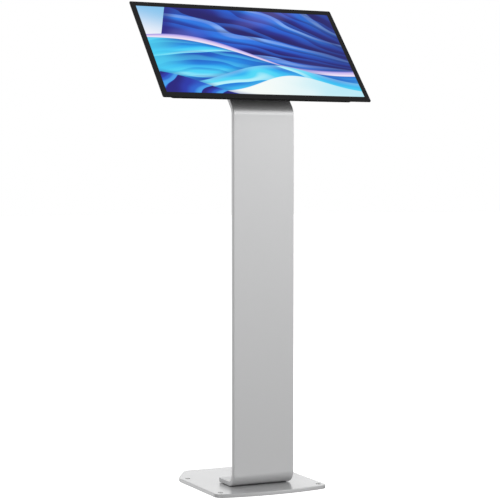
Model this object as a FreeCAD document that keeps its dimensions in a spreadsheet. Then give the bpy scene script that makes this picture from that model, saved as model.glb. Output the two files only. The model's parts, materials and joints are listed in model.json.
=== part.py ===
import FreeCAD, Part
import math
import os

import Sketcher
from FreeCAD import Placement, Rotation, Vector

# Free-standing touchscreen kiosk: a flat base plate, a slim folded-sheet column bent backwards at
# foot and head, and a touch monitor carried on the head.  Millimetres.
# Frame: origin at the centre of the footprint on the floor, +X to the visitor's right,
# +Y away from the visitor (backwards), +Z up.
# The monitor is described in its own leaning frame: x across, w into the monitor from the glass,
# v up along the glass from its bottom edge.

doc = FreeCAD.newDocument("touch_kiosk")
sheet = doc.addObject("Spreadsheet::Sheet", "dims")

DIMS = [
    # base plate
    ("plate_width", 301.0, "base plate width"),
    ("plate_bottom", 0.8, "underside of the base plate above the floor"),
    ("plate_thick", 9.2, "base plate thickness"),
    ("plate_front", -174.25, "foremost point of the bowed front edge"),
    ("plate_back", 174.25, "straight back edge"),
    ("bow_radius", 650.0, "radius of the bowed front edge"),
    ("cut_side", 86.05, "where the rear corner cut meets the side"),
    ("cut_back", 97.4, "where the rear corner cut meets the back edge"),
    ("front_corner", 34.0, "front corner radius"),
    ("side_corner", 75.0, "blend from side to corner cut"),
    ("back_corner", 30.0, "blend from corner cut to back edge"),
    ("plate_round", 1.4, "rounding of the plate's upper edge"),
    ("pad_radius", 11.0, "rubber pad radius"),
    ("level_side", 133.0, "levelling screws, distance from the middle"),
    ("level_front", -138.25, "levelling screws, front pair"),
    ("level_rear", 64.25, "levelling screws, rear pair"),
    ("level_radius", 5.0, "levelling thread radius in the plate"),
    ("bolt_side", 52.0, "foot bolts, distance from the middle"),
    # column
    ("column_front", -103.25, "front plane of the column"),
    ("column_width", 164.6, "column width"),
    ("column_depth", 11.0, "column depth, front sheet to rear sheet"),
    ("bend_radius", 38.0, "outside radius of the upper bend"),
    ("foot_bend", 30.0, "outside radius of the lower bend"),
    ("sheet_front", 2.0, "front shell sheet thickness"),
    ("sheet_rear", 1.5, "rear sheet thickness"),
    ("fit_gap", 0.1, "gap beside the rear sheets"),
    ("foot_length", 86.0, "reach of the foot behind the front plane"),
    ("foot_bottom", 11.2, "underside of the foot"),
    ("bend_top", 922.0, "height where the upper bend starts"),
    ("cover_low", 66.0, "lower end of the cable cover"),
    ("cover_high", 905.0, "upper end of the cable cover"),
    ("head_length", 213.0, "straight part of the head behind the monitor"),
    # monitor
    ("tilt", 42.2, "lean of the glass back from vertical, degrees"),
    ("glass_y", -139.25, "bottom front edge of the monitor, y"),
    ("glass_z", 960.4, "bottom front edge of the monitor, z"),
    ("mon_width", 560.0, "monitor width"),
    ("mon_height", 331.0, "monitor height along the glass"),
    ("frame_depth", 3.2, "depth of the thin front frame"),
    ("frame_lip", 1.25, "lip of the frame around the glass"),
    ("frame_ledge", 7.0, "inner edge of the ledge under the glass"),
    ("frame_corner", 4.0, "outer corner radius of the frame"),
    ("glass_back", 2.0, "rear face of the cover glass"),
    ("cell_side", 11.5, "margin beside the display cell"),
    ("cell_low", 13.5, "lower edge of the display cell"),
    ("cell_high", 318.0, "upper edge of the display cell"),
    ("box_inset_side", 32.0, "rear box inset at the sides"),
    ("box_inset_end", 25.0, "rear box inset at top and bottom"),
    ("box_back", 33.0, "rear face of the box"),
    ("shelf_w", 11.0, "depth of the shelf around the box"),
    ("shelf_inset", 12.5, "inset where the skirt meets the shelf"),
    ("wall", 2.0, "rear housing wall"),
    ("chassis_w", 7.4, "front face of the chassis plate"),
    ("chassis_thick", 1.2, "chassis plate thickness"),
    ("board_w", 20.0, "front face of the boards"),
    ("board_thick", 1.6, "board thickness"),
    ("vesa_pitch", 100.0, "monitor mounting hole spacing"),
    ("vesa_v", 165.5, "centre of the mounting holes up the monitor"),
    ("bracket_sheet", 2.5, "mounting bracket sheet"),
    ("key_travel", 0.8, "key travel"),
    ("key_pitch", 17.0, "key spacing"),
    ("key_first", 130.0, "lowest key up the monitor"),
]
for row, (alias, value, note) in enumerate(DIMS, 1):
    sheet.set("A%d" % row, note)
    sheet.set("B%d" % row, repr(value))
    sheet.setAlias("B%d" % row, alias)
doc.recompute()


class Q:
    """A number together with the expression that gives it from the sheet."""

    def __init__(self, value, text=None):
        self.value = float(value)
        self.text = text if text is not None else repr(float(value))
        self.bound = text is not None

    def _two(self, other, sign, value):
        other = q(other)
        r = Q(value(self.value, other.value), "(%s %s %s)" % (self.text, sign, other.text))
        r.bound = self.bound or other.bound
        return r

    def __add__(self, o):
        return self._two(o, "+", lambda a, b: a + b)

    def __radd__(self, o):
        return q(o) + self

    def __sub__(self, o):
        return self._two(o, "-", lambda a, b: a - b)

    def __rsub__(self, o):
        return q(o) - self

    def __mul__(self, o):
        return self._two(o, "*", lambda a, b: a * b)

    def __rmul__(self, o):
        return q(o) * self

    def __truediv__(self, o):
        return self._two(o, "/", lambda a, b: a / b)

    def __neg__(self):
        return q(0) - self


def q(x):
    return x if isinstance(x, Q) else Q(x)


def d(alias):
    return Q(float(sheet.get(alias)), "dims." + alias)


def func(name, f, x):
    r = Q(f(x.value), "%s(%s)" % (name, x.text))
    r.bound = x.bound
    return r


def bind(obj, prop, x):
    """Sets a property to a value, and to its expression where the sheet drives it."""
    x = q(x)
    if x.bound:
        obj.setExpression(prop, x.text)
    else:
        owner, last = obj, prop.split(".")
        if len(last) == 1:
            setattr(owner, prop, x.value)
        else:  # one coordinate of the placement
            place = obj.Placement
            setattr(place.Base, last[-1], x.value)
            obj.Placement = place


TILT = d("tilt")
SIN, COS = func("sin", lambda a: math.sin(math.radians(a)), TILT), func("cos", lambda a: math.cos(math.radians(a)), TILT)
LEAN = Rotation(Vector(1, 0, 0), -TILT.value)
YC, RB, FB = d("column_front"), d("bend_radius"), d("foot_bend")
FOOT, TOP = d("foot_bottom"), d("bend_top")
CW, CD = d("column_width"), d("column_depth")
SF, SR = d("sheet_front"), d("sheet_rear")
MW, MH = d("mon_width"), d("mon_height")
# where the head's front face lies behind the glass, and how far up the glass it starts
HEAD_DY = YC + RB * (1 - COS) - d("glass_y")
HEAD_DZ = TOP + RB * SIN - d("glass_z")
HEAD_W = HEAD_DY * COS - HEAD_DZ * SIN
HEAD_V = HEAD_DY * SIN + HEAD_DZ * COS
HEAD_END = HEAD_V + d("head_length")

NODES = {}


def node(obj, label):
    obj.Label = label
    NODES[label] = obj
    return obj


# ---------------------------------------------------------------- primitives
counter = [0]


def fresh(kind):
    counter[0] += 1
    return "%s_%03d" % (kind, counter[0])


TURN = {"z": Rotation(), "y": Rotation(Vector(1, 0, 0), -90), "x": Rotation(Vector(0, 1, 0), 90)}


def put(o, x, y, z, axis="z", leaning=False):
    """Places a primitive in the upright frame, or in the monitor's leaning frame (x, w, v)."""
    o.Placement = Placement(Vector(0, 0, 0), LEAN * TURN[axis] if leaning else TURN[axis])
    if leaning:
        w, v = q(y), q(z)
        y = d("glass_y") + w * COS + v * SIN
        z = d("glass_z") - w * SIN + v * COS
    bind(o, "Placement.Base.x", x)
    bind(o, "Placement.Base.y", y)
    bind(o, "Placement.Base.z", z)
    return o


def box(x0, x1, y0, y1, z0, z1, leaning=False):
    o = doc.addObject("Part::Box", fresh("block"))
    bind(o, "Length", q(x1) - x0)
    bind(o, "Width", q(y1) - y0)
    bind(o, "Height", q(z1) - z0)
    return put(o, x0, y0, z0, leaning=leaning)


def cyl(axis, x, y, z, r, length, leaning=False):
    o = doc.addObject("Part::Cylinder", fresh("round"))
    bind(o, "Radius", r)
    bind(o, "Height", length)
    return put(o, x, y, z, axis, leaning)


def cone(axis, x, y, z, r1, r2, length, leaning=False):
    o = doc.addObject("Part::Cone", fresh("cone"))
    bind(o, "Radius1", r1)
    bind(o, "Radius2", r2)
    bind(o, "Height", length)
    return put(o, x, y, z, axis, leaning)


def hexagon(axis, x, y, z, r, length, leaning=False):
    o = doc.addObject("Part::Prism", fresh("hex"))
    o.Polygon = 6
    bind(o, "Circumradius", r)
    bind(o, "Height", length)
    return put(o, x, y, z, axis, leaning)


def fuse(parts):
    if len(parts) == 1:
        return parts[0]
    o = doc.addObject("Part::MultiFuse", fresh("join"))
    o.Shapes = parts
    return o


def cut(base, tools):
    o = doc.addObject("Part::Cut", fresh("cut"))
    o.Base = base
    o.Tool = fuse(tools)
    return o


def made(label, adds, cuts=()):
    o = fuse(list(adds))
    if cuts:
        o = cut(o, list(cuts))
    return node(o, label)


def wedge(x0, x1, v0, v1, x2, x3, v2, v3, w0, w1):
    """Tapered block in the leaning frame: x0..x1 by v0..v1 at depth w0, x2..x3 by v2..v3 at depth w1."""
    o = doc.addObject("Part::Wedge", fresh("taper"))
    zero = q(v0)
    for prop, val in (("Xmin", x0), ("Xmax", x1), ("X2min", x2), ("X2max", x3),
                      ("Zmin", q(v0) - zero), ("Zmax", q(v1) - zero), ("Z2min", q(v2) - zero), ("Z2max", q(v3) - zero)):
        bind(o, prop, val)
    bind(o, "Ymin", 0)
    bind(o, "Ymax", q(w1) - w0)
    return put(o, 0, w0, v0, leaning=True)


def round_edges(base, radius, wanted):
    """Part::Fillet on the edges of base whose two ends satisfy wanted."""
    doc.recompute()
    o = doc.addObject("Part::Fillet", fresh("rounded"))
    o.Base = base
    picked = []
    for i, e in enumerate(base.Shape.Edges, 1):
        if all(wanted(v.Point) for v in e.Vertexes) and len(e.Vertexes) == 2:
            picked.append((i, radius, radius))
    if not picked:
        raise RuntimeError("no edge to round on " + base.Name)
    o.Edges = picked
    return o


# ---------------------------------------------------------------- sketches and bodies
def body(label, leaning=False):
    b = doc.addObject("PartDesign::Body", label + "_body")
    if leaning:
        b.Placement = Placement(Vector(0, 0, 0), LEAN)
        bind(b, "Placement.Base.y", d("glass_y"))
        bind(b, "Placement.Base.z", d("glass_z"))
    return node(b, label)


def sketch(b, role, offset=0):
    sk = b.newObject("Sketcher::SketchObject", fresh("sketch"))
    origin = [f for f in b.Origin.OriginFeatures if f.Role == role][0]
    sk.AttachmentSupport = [(origin, "")]
    sk.MapMode = "FlatFace"
    offset = q(offset)
    if offset.bound:
        sk.setExpression("AttachmentOffset.Base.z", offset.text)
    else:
        sk.AttachmentOffset = Placement(Vector(0, 0, offset.value), Rotation())
    return sk


def fix(sk, kind, args, x):
    """A dimension of a sketch, bound to the sheet."""
    x = q(x)
    i = sk.addConstraint(Sketcher.Constraint(kind, *args, x.value))
    if x.bound:
        name = "%s%d" % (kind.lower(), i)
        sk.renameConstraint(i, name)
        sk.setExpression("Constraints." + name, x.text)


def fix_point(sk, geo, pos, x, y):
    x, y = q(x), q(y)
    if abs(x.value) < 1e-9:
        sk.addConstraint(Sketcher.Constraint("PointOnObject", geo, pos, -2))
    else:
        fix(sk, "DistanceX", (-1, 1, geo, pos), x)
    if abs(y.value) < 1e-9:
        sk.addConstraint(Sketcher.Constraint("PointOnObject", geo, pos, -1))
    else:
        fix(sk, "DistanceY", (-1, 1, geo, pos), y)


def outline(sk, points):
    """A closed outline. Each point is (x, y) with a straight run to the next one, or
    (x, y, radius, cx, cy, way) with an arc about (cx, cy) to the next one, way +1 anticlockwise."""
    n = len(points)
    ends = []
    for i, p in enumerate(points):
        a, b = points[i], points[(i + 1) % n]
        pa = Vector(q(a[0]).value, q(a[1]).value, 0)
        pb = Vector(q(b[0]).value, q(b[1]).value, 0)
        if len(p) == 2:
            g = sk.addGeometry(Part.LineSegment(pa, pb), False)
            ends.append((g, 1, 2))
        else:
            c = Vector(q(p[3]).value, q(p[4]).value, 0)
            r = q(p[2]).value
            t0 = math.atan2(pa.y - c.y, pa.x - c.x)
            t1 = math.atan2(pb.y - c.y, pb.x - c.x)
            if p[5] < 0:
                t0, t1 = t1, t0
            while t1 < t0:
                t1 += 2 * math.pi
            g = sk.addGeometry(Part.ArcOfCircle(Part.Circle(c, Vector(0, 0, 1), r), t0, t1), False)
            ends.append((g, 1, 2) if p[5] > 0 else (g, 2, 1))
            fix(sk, "Radius", (g,), p[2])
    for i in range(n):
        g0, _, e0 = ends[i]
        g1, s1, _ = ends[(i + 1) % n]
        sk.addConstraint(Sketcher.Constraint("Coincident", g0, e0, g1, s1))
    for i, p in enumerate(points):
        fix_point(sk, ends[i][0], ends[i][1], p[0], p[1])


def rectangle(sk, x0, x1, y0, y1):
    outline(sk, [(x0, y0), (x1, y0), (x1, y1), (x0, y1)])


def circles(sk, places, r):
    for x, y in places:
        g = sk.addGeometry(Part.Circle(Vector(q(x).value, q(y).value, 0), Vector(0, 0, 1), q(r).value), False)
        fix(sk, "Radius", (g,), r)
        fix_point(sk, g, 3, x, y)


def pad(b, sk, length, reversed_=False, both=False):
    p = b.newObject("PartDesign::Pad", fresh("pad"))
    p.Profile = sk
    bind(p, "Length", length)
    p.Reversed = reversed_
    if both:
        p.SideType = "Symmetric"
    b.Tip = p
    doc.recompute()
    return p


def pocket(b, sk, length=None, reversed_=False, both=False):
    before = b.Shape.Volume
    p = b.newObject("PartDesign::Pocket", fresh("pocket"))
    p.Profile = sk
    if length is None:
        p.Type = "ThroughAll"
    else:
        bind(p, "Length", length)
    p.Reversed = reversed_
    if both:
        p.SideType = "Symmetric"
    b.Tip = p
    doc.recompute()
    if not b.Shape.Volume < before - 1e-3:
        raise RuntimeError("a pocket in %s cuts nothing" % b.Label)
    return p


def fillet(b, radius, pick):
    """PartDesign::Fillet on the edges that pick chooses."""
    names = ["Edge%d" % i for i, e in enumerate(b.Shape.Edges, 1) if pick(e)]
    if not names:
        raise RuntimeError("no edge to round on " + b.Label)
    tip = b.Tip
    f = b.newObject("PartDesign::Fillet", fresh("fillet"))
    f.Base = (tip, names)
    bind(f, "Radius", radius)
    b.Tip = f
    doc.recompute()
    if "Invalid" in f.State:
        raise RuntimeError("a fillet in %s failed" % b.Label)
    return f


def upright_at(x, y):
    def pick(e):
        c = e.BoundBox
        return c.ZLength > 1 and c.XLength < 0.01 and c.YLength < 0.01 and abs(abs(c.XMin) - x) < 0.5 and abs(c.YMin - y) < 0.5
    return pick


# ================================================================ base
PB, PT = d("plate_bottom"), d("plate_thick")
HALF = d("plate_width") / 2
BOW = d("bow_radius")
SIDE_Y = d("plate_front") + BOW - func("sqrt", math.sqrt, BOW * BOW - HALF * HALF)
FRONT_BOLT, REAR_BOLT = YC + 46, YC + 68
bolts_xy = [(s * d("bolt_side"), y) for s in (-1, 1) for y in (FRONT_BOLT, REAR_BOLT)]
levels = {"fl": (-d("level_side"), d("level_front")), "fr": (d("level_side"), d("level_front")),
          "rl": (-d("level_side"), d("level_rear")), "rr": (d("level_side"), d("level_rear"))}

base = body("base_plate")
sk = sketch(base, "XY_Plane", PB)
outline(sk, [
    (-HALF, SIDE_Y, BOW, 0, d("plate_front") + BOW, 1),
    (HALF, SIDE_Y),
    (HALF, d("cut_side")),
    (d("cut_back"), d("plate_back")),
    (-d("cut_back"), d("plate_back")),
    (-HALF, d("cut_side")),
])
pad(base, sk, PT)
fillet(base, d("front_corner"), upright_at(HALF.value, SIDE_Y.value))
fillet(base, d("side_corner"), upright_at(HALF.value, d("cut_side").value))
fillet(base, d("back_corner"), upright_at(d("cut_back").value, d("plate_back").value))
fillet(base, d("plate_round"), lambda e: e.BoundBox.ZMin > (PB + PT).value - 0.01)
# tapped holes for the levelling screws, with a broken upper edge
sk = sketch(base, "XY_Plane", PB)
circles(sk, levels.values(), d("level_radius"))
pocket(base, sk, reversed_=True)
before = base.Shape.Volume
tip = base.Tip
chamfer = base.newObject("PartDesign::Chamfer", "level_hole_edges")
chamfer.Base = (tip, ["Edge%d" % i for i, e in enumerate(base.Shape.Edges, 1)
                           if e.BoundBox.ZMin > (PB + PT).value - 0.01 and e.BoundBox.XLength < 10.5 and e.BoundBox.YLength < 10.5
                           and abs(abs(e.BoundBox.Center.x) - d("level_side").value) < 0.1 and len(e.Vertexes) == 1])
chamfer.Size = 0.7
base.Tip = chamfer
doc.recompute()
if not base.Shape.Volume < before - 1:
    raise RuntimeError("the levelling holes' edges were not broken")
# countersunk holes for the foot bolts, opened from below
sk = sketch(base, "XY_Plane", PB)
circles(sk, bolts_xy, 4.5)
doc.recompute()
before = base.Shape.Volume
hole = base.newObject("PartDesign::Hole", "foot_bolt_holes")
hole.Profile = sk
doc.recompute()
hole.ThreadType = "None"
hole.Diameter = 9.0
hole.DepthType = "ThroughAll"
hole.Reversed = True
hole.HoleCutType = "Countersink"
hole.HoleCutCustomValues = True
hole.HoleCutDiameter = 17.6
hole.HoleCutCountersinkAngle = 90
base.Tip = hole
doc.recompute()
if not before - base.Shape.Volume > 4 * 600:
    raise RuntimeError("the foot bolt holes are too small: %.1f" % (before - base.Shape.Volume))

# rubber pads that the kiosk stands on
made("base_pads", [cyl("z", x, y, 0, d("pad_radius"), PB) for x, y in ((-108, -146), (108, -146), (-84, 154), (84, 154))])

# levelling grub screws, wound up flush with the plate in normal use
for place, (x, y) in levels.items():
    made("levelling_screw_" + place, [cyl("z", x, y, PB + 0.4, d("level_radius") - 0.05, PT - 0.5)],
         [hexagon("z", x, y, PB + PT - 4.3, 2.9, 5)])

# resilient seat between plate and foot
made("foot_gasket", [box(-74, 74, YC + 31, YC + 84, PB + PT, FOOT)],
     [cyl("z", x, y, PB + PT - 1, 4.8, 5) for x, y in bolts_xy])

# countersunk socket screws, up through the plate into the clamp blocks
made("foot_bolts", [p for x, y in bolts_xy for p in (cone("z", x, y, PB + 0.5, 8.0, 4.0, 4), cyl("z", x, y, PB + 4.4, 3.95, 13.9))],
     [hexagon("z", x, y, PB - 0.5, 2.9, 4) for x, y in bolts_xy])

# ================================================================ column


def run(o, low, high):
    """The path of the section at depth o behind the column's front skin, from low to high.
    low and high are "foot", "head" or a height on the straight part."""
    pts = []
    if isinstance(low, str):
        pts.append((YC + d("foot_length"), FOOT + o))
        pts.append((YC + FB, FOOT + o, FB - o, YC + FB, FOOT + FB, -1))
        pts.append((YC + o, FOOT + FB))
    else:
        pts.append((YC + o, low))
    if isinstance(high, str):
        pts.append((YC + o, TOP, RB - o, YC + RB, TOP, -1))
        ey, ez = YC + RB - (RB - o) * COS, TOP + (RB - o) * SIN
        pts.append((ey, ez))
        pts.append((ey + d("head_length") * SIN, ez + d("head_length") * COS))
    else:
        pts.append((YC + o, high))
    return pts


def band(sk, o1, o2, low, high):
    """Closed outline between two depths of the section."""
    out = run(o1, low, high)
    back = run(o2, low, high)
    pts = [tuple(p) for p in out]
    # the second path is walked the other way, so each arc starts at its far end
    rev = back[::-1]
    for i, p in enumerate(rev):
        nxt = rev[i + 1] if i + 1 < len(rev) else None
        if nxt is not None and len(nxt) == 6:
            pts.append((p[0], p[1], nxt[2], nxt[3], nxt[4], -nxt[5]))
        else:
            pts.append((p[0], p[1]))
    outline(sk, pts)


shell = body("column_front_shell")
sk = sketch(shell, "YZ_Plane")
band(sk, q(0), CD, "foot", "head")
pad(shell, sk, CW, both=True)
sk = sketch(shell, "YZ_Plane")
# the channel is cut from the back, leaving the front sheet and the two side returns
ch = run(SF, "foot", "head")
reach = CD + 1
far = run(reach, "foot", "head")
pts = [(YC + d("foot_length") + 1, FOOT + SF)] + ch[1:-1]
ey, ez = ch[-1]
pts += [(ey + SIN, ez + COS)]
fy, fz = far[-1]
pts += [(fy + SIN, fz + COS)]
rev = far[::-1][1:]
for i, p in enumerate(rev):
    nxt = rev[i + 1] if i + 1 < len(rev) else None
    if nxt is not None and len(nxt) == 6:
        pts.append((p[0], p[1], nxt[2], nxt[3], nxt[4], -nxt[5]))
    elif nxt is None:
        pts.append((YC + d("foot_length") + 1, FOOT + reach))
    else:
        pts.append((p[0], p[1]))
outline(sk, pts)
pocket(shell, sk, CW - SF * 2, both=True)
# outer long corners of the fold
def fold_edge(e):
    c = e.BoundBox
    if c.XLength > 0.01 or abs(abs(c.XMin) - CW.value / 2) > 0.01:
        return False
    m = e.valueAt((e.FirstParameter + e.LastParameter) / 2)
    y, z = m.y, m.z
    if abs(y - YC.value) < 0.01 and c.YLength < 0.01:
        return True
    if abs(z - FOOT.value) < 0.01 and c.ZLength < 0.01:
        return True
    r1 = math.hypot(y - (YC + FB).value, z - (FOOT + FB).value)
    r2 = math.hypot(y - (YC + RB).value, z - TOP.value)
    if abs(r1 - FB.value) < 0.01 or abs(r2 - RB.value) < 0.01:
        return True
    w = (y - d("glass_y").value) * COS.value - (z - d("glass_z").value) * SIN.value
    return abs(w - HEAD_W.value) < 0.01 and z > TOP.value + 5


fillet(shell, 1.0, fold_edge)
# clearance holes for the foot bolts
sk = sketch(shell, "XY_Plane", FOOT)
circles(sk, bolts_xy, 4.3)
pocket(shell, sk, SF + 1, reversed_=True)
# clearance holes for the bracket screws, square to the head
hx = [(s * 26, v) for s in (-1, 1) for v in (125.5, 205.5)]
sk = shell.newObject("Sketcher::SketchObject", "bracket_holes")
plane = [f for f in shell.Origin.OriginFeatures if f.Role == "XZ_Plane"][0]
sk.AttachmentSupport = [(plane, "")]
sk.MapMode = "FlatFace"
# the sketch plane is leant with the head: its normal points forward out of the head's front skin
sk.AttachmentOffset = Placement(Vector(0, 0, 0), Rotation(Vector(1, 0, 0), -TILT.value))
sk.setExpression("AttachmentOffset.Base.z", (-(YC + RB * (1 - COS))).text)
sk.setExpression("AttachmentOffset.Base.y", (TOP + RB * SIN).text)
circles(sk, [(x, v - HEAD_V) for x, v in hx], 3.3)
pocket(shell, sk, 6, both=True)

closing = body("foot_closing_plate")
sk = sketch(closing, "YZ_Plane")
band(sk, CD - SR, CD, "foot", d("cover_low") - 0.5)
pad(closing, sk, CW - SF * 2 - d("fit_gap") * 2, both=True)

cover_zs = [q(130), q(486), q(842)]
cover = body("rear_cable_cover")
sk = sketch(cover, "YZ_Plane")
band(sk, CD - SR, CD, d("cover_low"), d("cover_high"))
pad(cover, sk, CW - SF * 2 - d("fit_gap") * 2, both=True)
sk = sketch(cover, "XZ_Plane", -(YC + CD))
circles(sk, [(s * 72, z) for s in (-1, 1) for z in cover_zs], 2.3)
pocket(cover, sk, 8, both=True)

head = body("head_closing_plate")
sk = sketch(head, "YZ_Plane")
band(sk, CD - SR, CD, d("cover_high") + 0.5, "head")
pad(head, sk, CW - SF * 2 - d("fit_gap") * 2, both=True)
sk = head.newObject("Sketcher::SketchObject", "head_openings")
plane = [f for f in head.Origin.OriginFeatures if f.Role == "XZ_Plane"][0]
sk.AttachmentSupport = [(plane, "")]
sk.MapMode = "FlatFace"
sk.AttachmentOffset = Placement(Vector(0, 0, 0), Rotation(Vector(1, 0, 0), -TILT.value))
sk.setExpression("AttachmentOffset.Base.z", (-(YC + RB - (RB - CD) * COS)).text)
sk.setExpression("AttachmentOffset.Base.y", (TOP + (RB - CD) * SIN).text)
circles(sk, [(x, v - HEAD_V) for x, v in hx], 3.3)
rectangle(sk, q(-28), q(28), q(52) - HEAD_V, q(80) - HEAD_V)
pocket(head, sk, 12, both=True)

IN = CW / 2 - SF  # half of the inner width
made("foot_clamp_blocks", [box(28, 78, YC + 30.2, YC + 82.5, FOOT + SF, FOOT + CD - SR - 0.1),
                           box(-78, -28, YC + 30.2, YC + 82.5, FOOT + SF, FOOT + CD - SR - 0.1)],
     [cyl("z", x, y, FOOT + 1, 4.0, 12) for x, y in bolts_xy])
made("foot_end_cap", [box(-(IN - 0.1), IN - 0.1, YC + 83, YC + 86, FOOT + SF, FOOT + CD - SR)],
     [box(-24, 24, YC + 82, YC + 87, FOOT + SF + 0.5, FOOT + CD - SR - 0.5)])
made("foot_cable_edging", [box(-23.95, 23.95, YC + 82, YC + 86.9, FOOT + SF + 0.55, FOOT + CD - SR - 0.55)],
     [box(-23.3, 23.3, YC + 81, YC + 88, FOOT + SF + 1.05, FOOT + CD - SR - 1.05)])
made("cover_fixing_blocks", [box(s * 72 - 8, s * 72 + 8, YC + SF, YC + CD - SR - 0.1, z - 7, z + 7) for s in (-1, 1) for z in cover_zs],
     [cyl("y", s * 72, YC + SF + 1, z, 2.0, 8) for s in (-1, 1) for z in cover_zs])
made("cable_cover_screws", [p for s in (-1, 1) for z in cover_zs for p in (
    cyl("y", s * 72, YC + CD, z, 3.8, 1.9), cyl("y", s * 72, YC + SF + 1.4, z, 1.95, CD - SF - 1.3))],
     [hexagon("y", s * 72, YC + CD + 0.7, z, 1.5, 2) for s in (-1, 1) for z in cover_zs])
made("cable_clips", [box(-60, -44, YC + SF, YC + CD - SR - 0.4, q(z) - 5, q(z) + 5) for z in (220, 400, 580, 760)],
     [cyl("z", -52, YC + SF + 3.6, q(z) - 6, 2.8, 12) for z in (220, 400, 580, 760)])

made("head_clamp_blocks", [box(s * 26 - 9, s * 26 + 9, HEAD_W + SF, HEAD_W + CD - SR - 0.1, q(v) - 9, q(v) + 9, True)
                           for s in (-1, 1) for v in (125.5, 205.5)],
     [cyl("y", s * 26, HEAD_W, v, 3.3, CD, True) for s in (-1, 1) for v in (125.5, 205.5)])
made("head_end_cap", [box(-(IN - 0.1), IN - 0.1, HEAD_W + SF, HEAD_W + CD - SR, HEAD_END - 3, HEAD_END, True)])
made("head_cable_edging", [box(-27.9, 27.9, HEAD_W + CD - SR - 1, HEAD_W + CD + 1, 52.1, 79.9, True)],
     [box(-26.4, 26.4, HEAD_W + CD - 5, HEAD_W + CD + 3, 53.6, 78.4, True)])

# ================================================================ bracket
BS = d("bracket_sheet")
BB = d("box_back")
VV, VP = d("vesa_v"), d("vesa_pitch") / 2
vesa = [(s * VP, VV + u * VP) for s in (-1, 1) for u in (-1, 1)]
bracket = body("mounting_bracket", leaning=True)
sk = sketch(bracket, "XY_Plane", VV - 70)
outline(sk, [
    (-66, BB), (-33.5, BB), (-33.5, HEAD_W - BS), (33.5, HEAD_W - BS), (33.5, BB), (66, BB), (66, BB + BS),
    (36, BB + BS), (36, HEAD_W), (-36, HEAD_W), (-36, BB + BS), (-66, BB + BS),
])
pad(bracket, sk, 141)
sk = sketch(bracket, "XZ_Plane", -(HEAD_W - BS / 2))
circles(sk, hx, 3.3)
pocket(bracket, sk, 6, both=True)
sk = sketch(bracket, "XZ_Plane", -(BB + BS / 2))
circles(sk, vesa, 2.3)
pocket(bracket, sk, 5, both=True)
made("bracket_nuts", [hexagon("y", x, HEAD_W - BS - 4.4, v, 5.8, 4.4, True) for x, v in hx],
     [cyl("y", x, HEAD_W - BS - 5, v, 3.0, 6, True) for x, v in hx])
made("bracket_screws", [p for x, v in hx for p in (cyl("y", x, HEAD_W + CD, v, 5.2, 3.2, True),
                                                   cyl("y", x, HEAD_W - BS - 4, v, 2.95, CD + BS + 4.1, True))],
     [hexagon("y", x, HEAD_W + CD + 1.2, v, 2.3, 3, True) for x, v in hx])
made("monitor_screws", [p for x, v in vesa for p in (cyl("y", x, BB + BS, v, 3.9, 2.4, True), cyl("y", x, BB - 9, v, 1.95, BS + 9.1, True))],
     [hexagon("y", x, BB + BS + 1, v, 1.7, 3, True) for x, v in vesa])

# ================================================================ monitor front
FD, LIP, LEDGE = d("frame_depth"), d("frame_lip"), d("frame_ledge")
frame = body("front_frame", leaning=True)
sk = sketch(frame, "XZ_Plane")
rectangle(sk, -MW / 2, MW / 2, 0, MH)
pad(frame, sk, FD, reversed_=True)
fillet(frame, d("frame_corner"), lambda e: e.BoundBox.XLength < 0.01 and e.Length < FD.value + 0.01)
sk = sketch(frame, "XZ_Plane")
rectangle(sk, -(MW / 2 - LEDGE), MW / 2 - LEDGE, LEDGE, MH - LEDGE)
pocket(frame, sk, 12, both=True)
sk = sketch(frame, "XZ_Plane")
rectangle(sk, -(MW / 2 - LIP), MW / 2 - LIP, LIP, MH - LIP)
pocket(frame, sk, (d("glass_back") + 0.3) * 2, both=True)

glass = body("cover_glass", leaning=True)
sk = sketch(glass, "XZ_Plane", -q(0.1))
rectangle(sk, -(MW / 2 - LIP - 0.08), MW / 2 - LIP - 0.08, LIP + 0.08, MH - LIP - 0.08)
pad(glass, sk, d("glass_back") - 0.1, reversed_=True)
fillet(glass, 1.6, lambda e: e.BoundBox.XLength < 0.01 and e.Length < 2.1)

GB = d("glass_back")


def sheet_of(label, side, low, high, w0, w1):
    return made(label, [box(-(MW / 2 - side), MW / 2 - side, w0, w1, low, high, True)])


made("glass_adhesive", [box(-(MW / 2 - 1.7), MW / 2 - 1.7, GB, GB + 0.3, 1.7, MH - 1.7, True)],
     [box(-(MW / 2 - 6.5), MW / 2 - 6.5, GB - 1, GB + 1, 6.5, MH - 6.5, True)])
CS, CL, CH = d("cell_side"), d("cell_low"), d("cell_high")
sheet_of("touch_sensor", q(7.5), q(7.5), MH - 7.5, GB, GB + 0.18)
sheet_of("optical_adhesive", CS + 0.3, CL + 0.3, CH - 0.3, GB + 0.18, GB + 0.4)
sheet_of("display_cell", CS, CL, CH, GB + 0.4, GB + 1.7)
sheet_of("diffuser_sheets", CS + 0.4, CL + 0.4, CH - 0.4, GB + 1.75, GB + 2.2)
sheet_of("light_guide", CS + 0.4, CL + 2.2, CH - 0.4, GB + 2.2, GB + 4.1)
made("led_bar", [box(-(MW / 2 - CS - 0.4), MW / 2 - CS - 0.4, GB + 2.3, GB + 4.1, CL + 0.4, CL + 1.2, True)]
     + [box(q(-250) + i * 25 - 2, q(-250) + i * 25 + 2, GB + 2.6, GB + 3.9, CL + 1.2, CL + 2.1, True) for i in range(21)])
sheet_of("reflector_sheet", CS + 0.4, CL + 0.4, CH - 0.4, GB + 4.15, GB + 4.4)
made("backlight_pan", [box(-(MW / 2 - CS + 0.5), MW / 2 - CS + 0.5, GB + 1.75, GB + 5.0, CL - 0.5, CH + 0.5, True)],
     [box(-(MW / 2 - CS), MW / 2 - CS, GB + 1, GB + 4.45, CL, CH, True)])

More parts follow.
